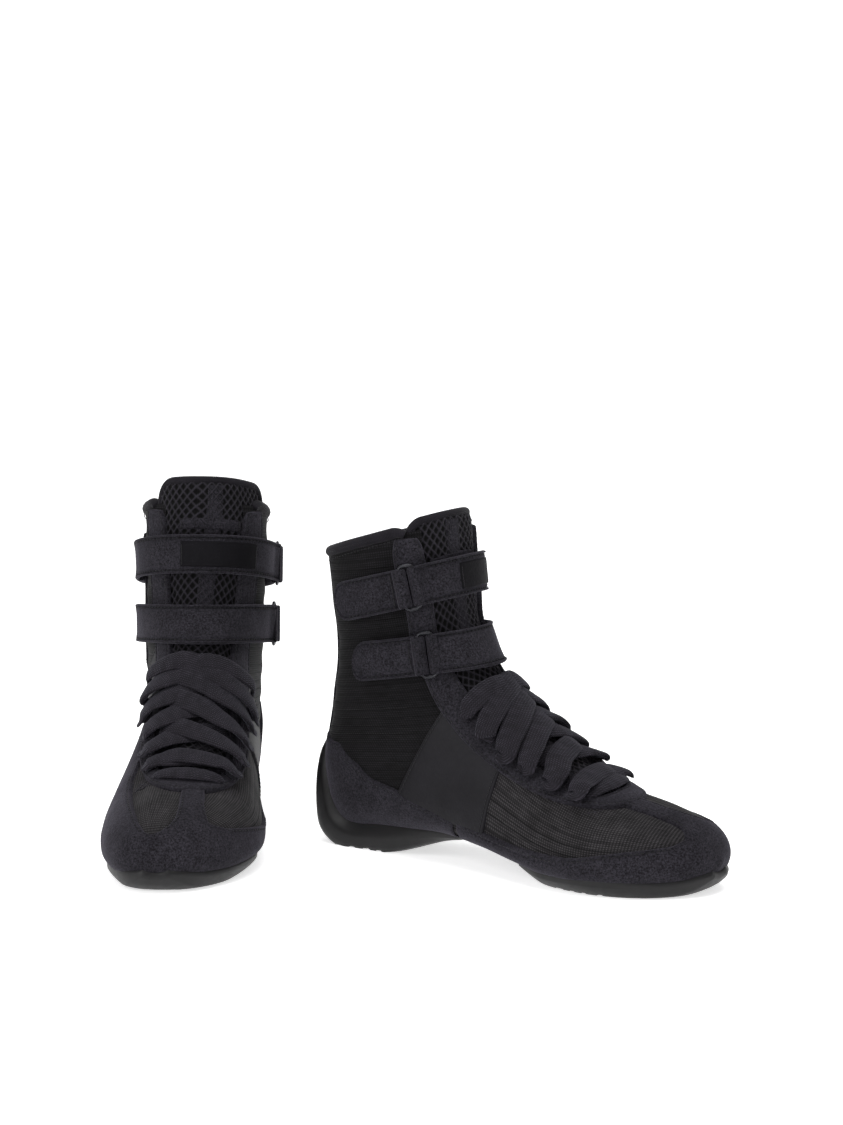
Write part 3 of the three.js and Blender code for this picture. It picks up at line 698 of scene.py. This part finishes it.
def saddle(side, name, sign, low, high):
    """A plain leather band from the eyestay down to the suede, on one side of the foot."""
    top = lambda u: SKEW + (outer_of(u) - 2)
    bottom = lambda u: np.where(u <= 6.65, rand_lateral(u), foxing(u)) + 2
    if sign > 0:
        patch = band(low, high, top, bottom)
    else:
        patch = band(low, high, lambda u: -bottom(u), lambda u: -(outer_of(u) - 2) + SKEW)
    d = np.minimum(patch["start"], patch["end"])
    depth = sewn(d, -2.2, -0.35, 0.8, 2.0, 0.2)
    piece = Piece()
    piece.sheet(patch, depth, ("start", "end"), 2.0, 2.6)
    piece.build(f"{name}_leather", side, "boot", [name], [LEATHER, THREAD])


def back_strip(side):
    patch = band(10.5, 13.98, flat(157), flat(203))
    d = np.minimum(patch["a"], patch["b"])
    depth = sewn(d, -2.1, -0.1, 1.0) + ripple(skin(patch["u"], patch["phi"]), 30, 0.2, 4)
    piece = Piece()
    piece.sheet(patch, depth, "ab")
    piece.build("back_strip", side, "boot", ["backstay"], [SUEDE, THREAD])


# ---------------------------------------------------------------- eyestay
def loop_angle(side, row):
    """Where a lace comes out of its eyelet, in degrees from the boot's middle line."""
    slack = BOOTS[side]["slack"]
    return 29.5 - 1.5 * slack + (1.6 + 3.0 * slack) * min(row, 4.4)


def eyestay(side):
    last = len(EYESTAY_INNER) - 1
    k = np.linspace(-last, last, 420)
    ui, ai = spline(np.array(EYESTAY_INNER, float), np.abs(k)).T
    uo, ao = spline(np.array(EYESTAY_OUTER, float), np.abs(k)).T
    top = np.clip((np.abs(k) - last + 2.2) / 2, 0, 1) ** 2
    ui, uo, ao = ui + 0.14 * top, uo + 0.22 * top, ao + 5 * top
    sign = np.where(k < 0, -1, 1)
    share = np.linspace(0, 1, 61)
    u = ui[:, None] + (uo - ui)[:, None] * share
    phi = SKEW + sign[:, None] * (ai[:, None] + (ao - ai)[:, None] * share)
    lengths = arc(skin(u, phi))
    at = np.array([spaced(total, 9) for total in lengths[:, -1]])
    u = np.array([np.interp(p, q, r) for p, q, r in zip(at, lengths, u)])
    phi = np.array([np.interp(p, q, r) for p, q, r in zip(at, lengths, phi)])
    run = arc(skin(u[:, 8], phi[:, 8]))[:, None] + 0 * u
    from_a, from_b = at, lengths[:, -1:] - at
    d = np.minimum(from_a, from_b)
    ends = np.minimum(run, run[-1, 0] - run)
    depth = np.minimum(sewn(d, -2.3, 0.45, 1.2), sewn(ends, -2.3, 0.45, 1.2, 50))
    base = skin(u, phi)
    depth = depth + ripple(base, 22, 0.22, 15) * np.clip(d / 4, 0, 1)
    for i, row in enumerate(LACE_ROWS):
        for sign_row in (-1, 1):
            hole = skin(row, SKEW + sign_row * loop_angle(side, i))
            depth -= 1.3 * np.exp(-((np.linalg.norm(base - hole, axis=-1) / 2.6) ** 2))
    patch = dict(u=u, phi=phi, start=run, end=run[-1, 0] - run, a=from_a, b=from_b)
    piece = Piece()
    piece.sheet(patch, depth, "ab", 2.2)
    piece.build("eyestay_suede", side, "boot", ["eyestay"], [SUEDE, THREAD])


# ---------------------------------------------------------------- collar, lining, tongue
def tube(path, normals, radius_out, radius_side):
    """Rings of an oval roll along a path; radius_out along the normal."""
    turns = 16
    tangent = unit(np.gradient(path, axis=0))
    normal = unit(normals - tangent * np.sum(normals * tangent, -1, keepdims=True))
    side = np.cross(tangent, normal)
    t = np.linspace(0, 2 * math.pi, turns, endpoint=False)
    rings = (path[:, None] + normal[:, None] * np.cos(t)[None, :, None] * radius_out[:, None, None]
             + side[:, None] * np.sin(t)[None, :, None] * radius_side[:, None, None])
    coords = np.stack([np.repeat(arc(path)[:, None], turns, 1),
                       np.repeat((t * np.mean(radius_side))[None], len(path), 0)], -1)
    return rings, coords


def collar(side):
    """A soft padded roll round the mouth that runs down into the eyestay's top tabs."""
    phi = np.linspace(*MOUTH, 260)
    fade = np.clip(np.minimum(phi - MOUTH[0], MOUTH[1] - phi) / 10, 0, 1)
    u = 14.12 - 0.16 * (1 - fade) ** 2
    path = on_skin(u, phi, np.full_like(phi, -3.6))
    path = path + ripple(path, 40, 0.5, 21)[:, None] * outward(u, phi)
    rings, coords = tube(path, outward(u, phi), 3.9 + 0 * phi, 3.4 * (0.72 + 0.28 * fade))
    piece = Piece()
    piece.capped(rings, coords)
    v = np.full_like(phi, 13.86)
    piece.stitches(on_skin(v, phi, np.full_like(phi, -1.2)), outward(v, phi), pitch=2.6)
    made = piece.build("collar_roll", side, "boot", ["collar_binding"], [BINDING, THREAD])


def lining(side):
    patch = band(9.3, 14.05, flat(MOUTH[0]), flat(MOUTH[1]), 3)
    swell = 1.2 * np.exp(-(((patch["u"] - 13.2) / 0.7) ** 2))
    base = skin(patch["u"], patch["phi"])
    depth = -6.6 - swell + ripple(base, 36, 0.5, 31)
    piece = Piece()
    piece.sheet(patch, depth)
    piece.sheet(patch, np.full_like(depth, -4.6))
    piece.build("shaft_lining", side, "boot", ["lining"], [LINING])
    foot = band(1.0, 9.5, flat(100), flat(260), 3)
    piece = Piece()
    side_rise = np.clip(1 - np.minimum(foot["a"], foot["b"]) / 18, 0, 1)
    depth = -8.4 + 2.2 * side_rise + ripple(skin(foot["u"], foot["phi"]), 30, 0.3, 32)
    piece.sheet(foot, depth)
    piece.build("footbed", side, "boot", ["sockliner"], [LINING])


def tongue_shape(side):
    """The tongue's top station, the angle of its middle line and its two edges, rounded at the top corners."""
    top = 14.72 + BOOTS[side]["tongue"]
    low, high = BOOTS[side]["tongue_edges"]
    drift = lambda u: BOOTS[side]["drift"] * np.clip((u - 8) / 6, 0, 1) ** 1.5

    def edges(u):
        left_over = np.clip((top - u) * 13.5, 0, 12)
        cut = 12 - np.sqrt(np.clip(12 ** 2 - (12 - left_over) ** 2, 0, None))
        spread = np.clip((u - 12.4) / 1.6, 0, 1)
        return -45 + (low + 45) * spread + cut * 1.4, 53 + (high - 53) * spread - cut * 1.4

    return top, drift, edges


def tongue(side):
    top, drift, edges = tongue_shape(side)
    patch = band(3.9, top - 0.004, lambda u: edges(u)[0], lambda u: edges(u)[1], 0.62)
    u, phi = patch["u"], patch["phi"]
    base = skin(u, phi)
    middle = arc(skin(u[:, 0], 0 * u[:, 0] + SKEW))
    # Diamond netting: two slanting sets of threads, 4.7 mm wide and 5.8 mm long.
    x = (phi - SKEW - drift(u)) * 0.66
    y = middle[:, None] + 0 * u
    f = np.stack([x / 4.7 + y / 5.8, x / 4.7 - y / 5.8])
    f = np.abs(f - np.round(f))
    web = np.exp(-((f.min(0) / 0.17) ** 2))
    knot = np.exp(-((f.max(0) / 0.22) ** 2)) * web
    net = np.clip(web + 0.25 * knot, 0, 1.2)
    d = np.minimum(np.minimum(patch["a"], patch["b"]), patch["end"])
    d = np.minimum(d, (top - u) * 13.5)
    bulge = 1.2 * (1 - np.exp(-d / 6.0)) + 0.8 * np.cos(np.radians((phi - SKEW) * 1.6))
    wide = ripple(base, 40, 0.5, 41)
    front = -4.6 + bulge + wide + 0.95 * net
    edge = np.sqrt(np.clip(1 - (1 - np.clip(d / 2.5, 0, 1)) ** 2, 0, 1))
    front = -6.2 + (front + 6.2) * edge
    back = -6.2 - 1.9 * edge
    coords = np.stack([y, x], -1)
    piece = Piece()
    # The net value goes into the shade attribute. It is low in the holes, where the netting's material paints shade.
    piece.grid(on_skin(u, phi, front), coords, tint=np.clip(net, 0, 1))
    sparse = slice(None, None, 3)
    piece.grid(on_skin(*(values[sparse, sparse] for values in (u, phi, back))), coords[sparse, sparse], look=1)
    made = piece.build("tongue_netting", side, "boot", ["tongue"], [NET, LINING])

    # The binding follows the rounded top edge and both sides down past the upper strap.
    v = top - 0.002 - (top - 12.6) * np.linspace(1, 0, 110) ** 1.8
    left, right = edges(v)
    across = np.linspace(left[-1], right[-1], 60)[1:-1]
    us = np.concatenate([v, np.full(58, top), v[::-1]])
    angles = np.concatenate([left, across, right[::-1]])
    path = on_skin(us, angles, np.full_like(us, -5.6))
    run = arc(path)
    at = np.linspace(0, run[-1], 220)
    path = sample(at, run, path)
    up = outward(np.interp(at, run, us), np.interp(at, run, angles))
    rings, coords = tube(path, up, 3.0 + 0 * at, 2.5 + 0 * at)
    piece = Piece()
    piece.capped(rings, coords)
    made = piece.build("tongue_roll", side, "boot", ["tongue_binding"], [BINDING])

    # Suede centre strip and the keeper across it.
    piece = Piece()
    strip = band(8.0, top - 0.17, lambda u: SKEW - 7.2 + drift(u), lambda u: SKEW + 7.2 + drift(u), 1.2)
    d = np.minimum(strip["a"], strip["b"])
    depth = sewn(d, -3.6, -2.0, 0.9, 1.7, 0.2) + ripple(skin(strip["u"], strip["phi"]), 20, 0.3, 42)
    piece.sheet(strip, depth, "ab", 1.7, 2.4)
    keeper = band(top - 2.12, top - 1.6, lambda u: SKEW - 27 + drift(u), lambda u: SKEW + 27 + drift(u), 1.0)
    piece.sheet(keeper, sewn(rim_distance(keeper), -3.4, -1.4, 1.1, 1.8, 0.25), "ab", 1.8, 2.2)
    piece.build("tongue_strip", side, "boot", ["tongue_trim"], [SUEDE, THREAD])


# ---------------------------------------------------------------- rubber
def sole(side, name, edge, depth_of, u0, u1, node, thin=0.25):
    patch = band(u0, u1, edge, lambda u: 360 - edge(u), 2.0)
    u, phi = patch["u"], patch["phi"]
    inside = 1 - np.abs(phi - 180) / (180 - edge(u))
    lip = np.sqrt(np.clip(np.minimum(patch["a"], patch["b"]) / 1.6, 0, 1))
    ends = np.sqrt(np.clip(np.minimum(patch["start"], patch["end"]) / 2.0, 0, 1))
    full = 0.9 + (depth_of(u) - 0.9) * np.clip(thin + 2.2 * inside, 0, 1)
    depth = -0.6 + (full + 0.6) * np.minimum(lip, ends)
    points = on_skin(u, phi, depth)
    flat = points[..., 2] < 0
    ground = np.maximum(points[..., 2], 0)
    x, y = points[..., 0], points[..., 1]
    tread = 0.9 * (np.abs(((x * 0.8 + np.abs(y) * 0.5) / 7.0) % 1 - 0.5) < 0.13)
    ground = np.where(flat & (inside > 0.25), tread, ground)
    points = np.stack([x, y, ground], -1)
    piece = Piece()
    piece.grid(points, cloth_coords(patch))
    piece.build(name, side, "boot", [node], [RUBBER])


# ---------------------------------------------------------------- laces
def lace_path(side, row, way, over, turn, s):
    """One crossing: out of an eyelet, over the tongue, and in under the loops of the other side."""
    slack = BOOTS[side]["slack"]
    knots = np.array([0, 0.05, 0.12, 0.22, 0.36, 0.5, 0.64, 0.76, 0.88, 1.0])
    begin = loop_angle(side, row) + turn.uniform(-1.2, 1.2)
    spots = np.array([begin, begin + 2.2, begin + 1.8, begin - 6, 15, 2, -10, -19, -26, -31])
    puff = (0.1 + 0.35 * slack) * row
    if over:
        lifts = [-2.2, 2.4, 4.6 + puff, 5.2 + puff, 3.9, 2.9, 2.7, 2.4, 0.4, -2.6]
    else:
        lifts = [-2.2, 1.6, 2.8 + 2 * puff, 3.2 + 2 * puff, 1.7, 0.5, 0.3, 0.0, -1.4, -2.8]
    lifts = np.array(lifts) + turn.normal(0, 0.25, 10) * (knots > 0.05)
    rise = np.array([0, -0.08, -0.1, 0.06, 0.36, 0.64, 0.92, 1.12, 1.24, 1.28]) * (1 + 0.2 * slack)
    rise = rise * (0.2, 0.6, 0.9, 1, 1)[row] + turn.normal(0, 0.03, 10)
    start = LACE_ROWS[row] + turn.uniform(-0.04, 0.04)
    step = (LACE_ROWS + [LACE_ROWS[-1] + 0.5])[row + 1] - LACE_ROWS[row]
    u = start + step * smooth(knots, rise, s)
    return u, SKEW + way * smooth(knots, spots, s), smooth(knots, lifts, s)


def smooth(knots, values, s):
    raw = np.interp(s, knots, values)
    for _ in range(4):
        raw[1:-1] = (raw[:-2] + 2 * raw[1:-1] + raw[2:]) / 4
    return raw


def ribbon(piece, u, phi, lift, width, thick, tilt):
    """A plump flat lace: an oval section carried along the skin."""
    path = on_skin(u, phi, lift)
    tangent = unit(np.gradient(path, axis=0))
    up = outward(u, phi)
    side = unit(np.cross(tangent, up))
    up = np.cross(side, tangent)
    c, s = np.cos(tilt)[:, None], np.sin(tilt)[:, None]
    side, up = side * c + up * s, up * c - side * s
    t = np.linspace(0, 2 * math.pi, 22, endpoint=False)
    flat = np.sign(np.cos(t)) * np.abs(np.cos(t)) ** 0.75
    high = np.sign(np.sin(t)) * np.abs(np.sin(t)) ** 0.9
    crown = 1 - 0.25 * flat ** 4
    rings = (path[:, None] + side[:, None] * flat[None, :, None] * width[:, None, None] / 2
             + up[:, None] * (high * crown)[None, :, None] * thick[:, None, None] / 2)
    coords = np.stack([np.repeat(arc(path)[:, None], len(t), 1),
                       flat[None] * np.ones((len(path), 1)) * width[:, None] / 2], -1)
    piece.capped(rings, coords)


def laces(side):
    piece = Piece()
    slack = BOOTS[side]["slack"]
    s = np.linspace(0, 1, 90)
    spots = SKEW + smooth([0, 0.1, 0.9, 1], [-28, -24, 24, 28], s)
    u = BOOTS[side]["bar"] + 0.7 * (s - 0.5) ** 2
    lift = smooth([0, 0.12, 0.3, 0.7, 0.88, 1], [-2.6, 1.3, 2.2, 2.2, 1.3, -2.6], s)
    width = smooth([0, 0.2, 0.5, 0.8, 1], [3.0, 9.5, 12.5, 9.5, 3.0], s)
    ribbon(piece, u, spots, lift, width, 2.6 + 0 * s, 0 * s)
    knots = [0, 0.06, 0.13, 0.25, 0.5, 0.8, 1]
    for row in range(len(LACE_ROWS) - 1):
        for way, over in ((-1, False), (1, True)):
            turn = np.random.default_rng(140 + 2 * row + over + 40 * (side == "left"))
            u, phi, lift = lace_path(side, row, way, over, turn, s)
            widest = turn.uniform(13.4, 14.8) + 0.5 * slack * row
            width = smooth(knots, [7.0, 0.84 * widest, 0.96 * widest, widest, widest, 12.0, 9.0], s)
            thick = smooth(knots, [3.4, 4.4, 4.2, 3.3, 2.6, 2.4, 2.2], s)
            tilt = smooth([0, 0.1, 0.3, 1], np.radians([14, 24, 6, -3]) * turn.uniform(0.3, 1.5), s)
            ribbon(piece, u, phi, lift, width, thick, way * tilt)
    s = np.linspace(0, 1, 70)
    knots = [0, 0.1, 0.25, 0.45, 0.7, 1]
    begin = loop_angle(side, len(LACE_ROWS) - 1)
    for way in (-1, 1):
        phi = SKEW + way * smooth(knots, [begin, begin + 2, begin - 4, 20, 0, -18], s)
        lift = smooth(knots, [-2, 2.8, 5.2 + 2 * slack, 3.6, 1.8 + way, -0.8], s)
        u = LACE_ROWS[-1] + smooth(knots, [0.0, 0.04, 0.08, 0.06, -0.02, -0.12], s)
        width = smooth(knots, [4.5, 7.5, 12, 13.0, 12.5, 9.0], s)
        ribbon(piece, u, phi, lift, width, 2.8 + 0 * s, way * 0.2 * (1 - s))
    piece.build("laces", side, "boot", ["lace"], [LACE])


# ---------------------------------------------------------------- straps
def plane_normal(strap):
    return unit(np.array([-strap["slope"], 0, 1.0]))


def station_on(strap, phi, across, lift):
    """The station where the skin at phi lies this far across the strap's middle plane."""
    phi, across = np.broadcast_arrays(np.asarray(phi, float), np.asarray(across, float))
    normal, origin = plane_normal(strap), np.array([strap["at"], 0, strap["height"]])
    low, high = np.full(phi.shape, 6.5), np.full(phi.shape, 15.0)
    for _ in range(22):
        u = (low + high) / 2
        below = (on_skin(u, phi, np.full(phi.shape, lift)) - origin) @ normal < across
        low, high = np.where(below, u, low), np.where(below, high, u)
    return (low + high) / 2


def ring_frame(strap, phi):
    point = lambda a: on_skin(station_on(strap, a, 0, RING["lift"]), a, np.array(RING["lift"]))
    centre, along = point(phi), point(phi + 3) - point(phi - 3)
    per_degree = np.linalg.norm(along) / 6
    across = plane_normal(strap)
    along = unit(along - across * (along @ across))
    away = np.cross(across, along)
    if away @ outward(np.array(station_on(strap, phi, 0, 0)), np.array(phi)) < 0:
        away = -away
    return centre, along, across, away, per_degree


def rim_profile(half, low, high, hem=1.9, raised=0.6):
    """A strap's closed cross-section: places across it and heights."""
    top_a = np.array([1, 0.992, 0.97, 0.93, 0.89, 0.86, 0.835, 0.81, 0.76, 0.6, 0.3])
    a = half - (1 - top_a) * half
    hem_at = half - hem
    h = np.where(a > hem_at + 0.35, high + raised, high)
    h = np.where(np.abs(a - hem_at) < 0.36, high - 0.55, h)
    h = h - (high + raised - (low + high) / 2) * np.clip(1 - (half - a) / 0.55, 0, 1) ** 2
    top = np.stack([np.concatenate([-a, [0], a[::-1]]), np.concatenate([h, [high], h[::-1]])], -1)
    under = (0.985, 0.9, 0.5, 0, -0.5, -0.9, -0.985)
    bottom = np.array([[half * k, low + (0.4 if abs(k) > 0.95 else 0)] for k in under])
    return np.concatenate([top, bottom])


def strap_body(piece, strap, from_phi, to_phi, low, high, half_at=None, rise_at=None, raised=0.6, step=1.4):
    """A strap laid round the boot between two angles. half_at(s mm, total) narrows it, rise_at lifts it."""
    fine = np.linspace(from_phi, to_phi, 200)
    path = on_skin(station_on(strap, fine, 0, high), fine, np.full(200, float(high)))
    run = arc(path)
    at = spaced(run[-1], max(6, math.ceil(run[-1] / step)))
    phi = np.interp(at, run, fine)
    rings = []
    for a, angle in zip(at, phi):
        half = STRAP_HALF if half_at is None else half_at(a, run[-1])
        lift = 0 if rise_at is None else rise_at(a, run[-1])
        rings.append(np.concatenate([rim_profile(half, low, high, raised=raised) + [0, lift], [[angle, a]]]))
    rings = np.array(rings)
    section, where = rings[:, :-1], rings[:, -1]
    angle = where[:, :1] + 0 * section[..., 0]
    u = station_on(strap, angle, section[..., 0], high)
    points = on_skin(u, angle, section[..., 1])
    coords = np.stack([where[:, 1:] + 0 * section[..., 0], section[..., 0]], -1)
    piece.capped(points, coords)


def strap_stitches(piece, strap, angle, across, lift, pitch):
    u = station_on(strap, angle, across, lift)
    piece.stitches(on_skin(u, angle, np.full(len(angle), float(lift))), outward(u, angle), pitch=pitch)


def strap_seams(piece, strap, from_phi, to_phi, lift):
    """Stitches along both edges of a strap."""
    angle = np.linspace(from_phi, to_phi, 160)
    for sign in (-1, 1):
        strap_stitches(piece, strap, angle, sign * (STRAP_HALF - 2.0) + 0 * angle, lift, 2.8)


def cross_seam(piece, strap, phi, half, lift, pitch=2.4):
    strap_stitches(piece, strap, np.full(40, float(phi)), np.linspace(-half, half, 40), lift, pitch)


def fold(piece, frame, side_sign, turn0, turn1, radius, half, thick=1.3, reach=4.6):
    """The strap's end turned round a bar of the ring: a sleeve that reaches to the ring's middle."""
    centre, along, across, away, _ = frame
    bar = centre + along * side_sign * RING["gap"] / 2
    turns = np.radians(np.linspace(turn0, turn1, 26))
    wide = np.concatenate([[-1, -0.99, -0.95, -0.86], np.linspace(-0.8, 0.8, 13), [0.86, 0.95, 0.99, 1]])
    sag = np.where(np.abs(wide) > 0.98, -0.5, np.where(np.abs(wide) > 0.94, -0.12, 0.06))
    shells = []
    for offset in (0, -thick):
        r = np.broadcast_to(radius + offset + (sag if offset == 0 else 0), wide.shape)[None, :, None]
        inward = np.where(np.cos(turns) * side_sign < 0, (reach + offset) / (radius + offset), 1)
        shells.append(bar + across * (wide * half)[None, :, None]
                      + (along * (np.cos(turns) * inward)[:, None, None] + away * np.sin(turns)[:, None, None]) * r)
    rings = np.concatenate([shells[0], shells[1][:, ::-1]], 1)
    coords = np.stack([np.repeat((turns * radius)[:, None], rings.shape[1], 1),
                       np.repeat(np.concatenate([wide, wide[::-1]])[None] * half, len(turns), 0)], -1)
    piece.capped(rings, coords)


def ring(side, name, frame):
    centre, along, across, away, _ = frame
    x, y = RING["width"] / 2, RING["height"] / 2 - RING["wire"] / 2
    c = RING["corner"]
    outline = []
    for sx, sy, start in ((1, 1, 0), (-1, 1, 90), (-1, -1, 180), (1, -1, 270)):
        for t in np.radians(np.linspace(start, start + 90, 12)):
            outline.append((sx * (x - c) + c * math.cos(t), sy * (y - c) + c * math.sin(t)))
    outline = np.array(outline)
    closed = np.concatenate([outline, outline[:1]])
    run = arc(closed)
    at = np.linspace(0, run[-1], 90, endpoint=False)
    px, py = np.interp(at, run, closed[:, 0]), np.interp(at, run, closed[:, 1])
    path = centre + along * px[:, None] + across * py[:, None]
    tangent = unit(np.roll(path, -1, 0) - np.roll(path, 1, 0))
    out = np.cross(tangent, away)
    t = np.linspace(0, 2 * math.pi, 14, endpoint=False)
    r = RING["wire"] / 2
    rings = (path[:, None] + out[:, None] * np.cos(t)[None, :, None] * r
             + away * np.sin(t)[None, :, None] * r * 0.95)
    rings = np.concatenate([rings, rings[:1]])
    coords = np.stack([np.repeat(np.append(at, run[-1])[:, None], 14, 1), np.repeat((t * r)[None], 91, 0)], -1)
    piece = Piece()
    piece.grid(rings, coords, round_it=True)
    piece.build(f"{name}_wire", side, f"{name}_ring", [f"{name}_ring"], [METAL])


def straps(side):
    boot = BOOTS[side]
    anchors = Piece()
    for name, strap in STRAPS.items():
        ring_phi, tab_end = boot[name]
        frame_of = ring_frame(strap, ring_phi)
        reach = RING["gap"] / 2 / frame_of[4]
        front = ring_phi - reach

        piece = Piece()
        climb = lambda a, total: 1.9 * np.clip((a - (total - 9)) / 7, 0, 1) ** 1.6
        strap_body(piece, strap, STRAP_START, front + 0.6, *STRAP_LAYER, rise_at=climb)
        strap_seams(piece, strap, -82, front - 1, 4.15)
        fold(piece, frame_of, -1, 135, -70, 2.5, STRAP_HALF - 0.2, 0.9, 4.4)
        piece.build(f"{name}_strap_suede", side, f"{name}_strap", [f"{name}_strap"],
                    [STRAP_SUEDE, THREAD])

        piece = Piece()
        round_end = lambda a, total: STRAP_HALF * np.sqrt(max(0.02, 1 - max(0, 1 - (total - a) / 9.5) ** 2.4))
        back = ring_phi + reach
        strap_body(piece, strap, back, tab_end, *TAB_LAYER, half_at=round_end)
        strap_seams(piece, strap, back + 5, tab_end - 11, 3.55)
        cross_seam(piece, strap, back + 6.2, STRAP_HALF - 2.6, 3.9)
        fold(piece, frame_of, 1, -30, 235, 3.2, STRAP_HALF - 0.4, 1.3, 4.6)
        piece.build(f"{name}_tab_suede", side, f"{name}_tab", [f"{name}_tab"], [STRAP_SUEDE, THREAD])
        ring(side, name, frame_of)

        # The sewn end on the inner side, and the short bend between it and the loose strap.
        strap_body(anchors, strap, -109, -89.4, 0.2, 4.4)
        strap_seams(anchors, strap, -107, -90, 4.15)
        cross_seam(anchors, strap, -106, STRAP_HALF - 2.6, 4.4)
        bend = Piece()
        strap_body(bend, strap, -93.0, -80.5, 2.7, 4.25, raised=0.35)
        made = bend.build(f"{name}_strap_bend", side, None, None, [STRAP_SUEDE])
        ends = [on_skin(station_on(strap, a, 0, 3.4), a, np.array(3.4)) for a in (-89.0, STRAP_START)]
        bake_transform(made)

    patch = band(9.9, 13.4, flat(-115), flat(-91))
    anchors.sheet(patch, sewn(rim_distance(patch), -2.2, -0.1, 1.1), ("a", "b", "start", "end"))
    anchors.build("strap_base_suede", side, "boot", ["strap_anchor"], [STRAP_SUEDE, THREAD])

    # The plain label patch on the upper strap, with a stitched rim.
    piece = Piece()
    strap = STRAPS["upper"]
    low, high = boot["label"]
    angle = np.linspace(low, high, 60)
    rim = np.array([0, 0.15, 0.5, 0.9, 1.3])
    across = np.concatenate([rim - LABEL_HALF, np.linspace(-5.6, 5.6, 9), LABEL_HALF - rim[::-1]])
    grid_a, grid_x = np.meshgrid(angle, across, indexing="ij")
    u = station_on(strap, grid_a, grid_x, STRAP_LAYER[1])
    run = arc(on_skin(u[:, 9], angle, np.full(60, STRAP_LAYER[1])))
    from_end = np.minimum(run, run[-1] - run)[:, None] + 0 * grid_x
    d = np.minimum(LABEL_HALF - np.abs(grid_x), from_end)
    lift = 4.1 + 1.15 * np.sqrt(np.clip(d / 0.7, 0, 1)) - 0.18 * np.exp(-(((d - 1.3) / 0.4) ** 2))
    piece.grid(on_skin(u, grid_a, lift), np.stack([run[:, None] + 0 * grid_x, grid_x], -1))
    per = run[-1] / (high - low)
    for at in (low + 1.3 / per, high - 1.3 / per):
        cross_seam(piece, strap, at, 6.4, 5.1, 2.0)
    piece.build("label_patch", side, "upper_strap", ["strap_label"], [PATCH, THREAD])


# ---------------------------------------------------------------- build
for boot_side in BOOTS:
    knitted(boot_side)
    toe_suede(boot_side)
    heel_suede(boot_side)
    saddle(boot_side, "lateral_saddle", 1, 6.1, 7.85)
    saddle(boot_side, "medial_saddle", -1, 6.95, 8.6)
    back_strip(boot_side)
    eyestay(boot_side)
    collar(boot_side)
    lining(boot_side)
    tongue(boot_side)
    sole(boot_side, "heel_rubber", heel_edge, heel_depth, 6.7, 10.6, "heel_outsole")
    sole(boot_side, "forefoot_rubber", lambda u: fore_edge(u) + 6 * np.clip((5 - u) / 2, 0, 1), fore_depth,
         0.5, 5.6, "forefoot_outsole", 0.08)
    laces(boot_side)
    straps(boot_side)
    for part, finish in (("heel_counter", SHELL), ("toe_puff", SHELL), ("insole_board", FIBRE)):
        node = frame["nodes"][f"{boot_side}_{part}"]
        node.data.materials.clear()
        node.data.materials.append(finish)

# ---------------------------------------------------------------- camera, floor and light
scene = bpy.context.scene
scene.view_settings.view_transform = "Standard"
scene.view_settings.look = "None"

camera_data = bpy.data.cameras.new("camera")
camera_data.sensor_fit = "VERTICAL"
camera_data.sensor_height = 36
camera_data.lens = 112
camera = bpy.data.objects.new("camera", camera_data)
camera.location = (0.0045, -1.9864, 0.4838)
camera.rotation_euler = (math.radians(90 - 9.11), 0, 0)   # looks 9.11 degrees down
scene.collection.objects.link(camera)
scene.camera = camera

# White paper floor with walls far away, open at the top.
floor_mesh = bpy.data.meshes.new("floor")
corners = [(-25, -25), (25, -25), (25, 30), (-25, 30)]
floor_mesh.from_pydata([(x, y, z) for z in (0, 7) for x, y in corners], [],
                       [(0, 1, 2, 3), (0, 4, 5, 1), (1, 5, 6, 2), (2, 6, 7, 3), (3, 7, 4, 0)])
floor = bpy.data.objects.new("floor", floor_mesh)
scene.collection.objects.link(floor)
paper = bpy.data.materials.new("paper")
paper.use_nodes = True
for key, value in {"Base Color": (0.9, 0.9, 0.905, 1), "Roughness": 0.9, "Emission Color": (1, 1, 1, 1),
                   "Emission Strength": 0.62}.items():
    paper.node_tree.nodes["Principled BSDF"].inputs[key].default_value = value
floor_mesh.materials.append(paper)

world = bpy.data.worlds.new("studio")
scene.world = world
world.use_nodes = True
world.node_tree.nodes["Background"].inputs[0].default_value = (1, 1, 1, 1)
world.node_tree.nodes["Background"].inputs[1].default_value = 0.38


def soft_light(name, place, target, size, power):
    data = bpy.data.lights.new(name, "AREA")
    data.shape = "RECTANGLE"
    data.size, data.size_y = size
    data.energy = power
    light = bpy.data.objects.new(name, data)
    light.location = place
    light.rotation_euler = (Vector(target) - Vector(place)).to_track_quat("-Z", "Y").to_euler()
    scene.collection.objects.link(light)


soft_light("overhead", (0.1, -0.2, 1.9), (0, 0, 0), (1.8, 1.4), 31)
soft_light("front_left", (-1.3, -1.5, 1.2), (0, 0, 0.1), (1.0, 1.2), 20)
soft_light("front_right", (1.5, -1.2, 1.0), (0, 0, 0.1), (1.0, 1.2), 1.5)
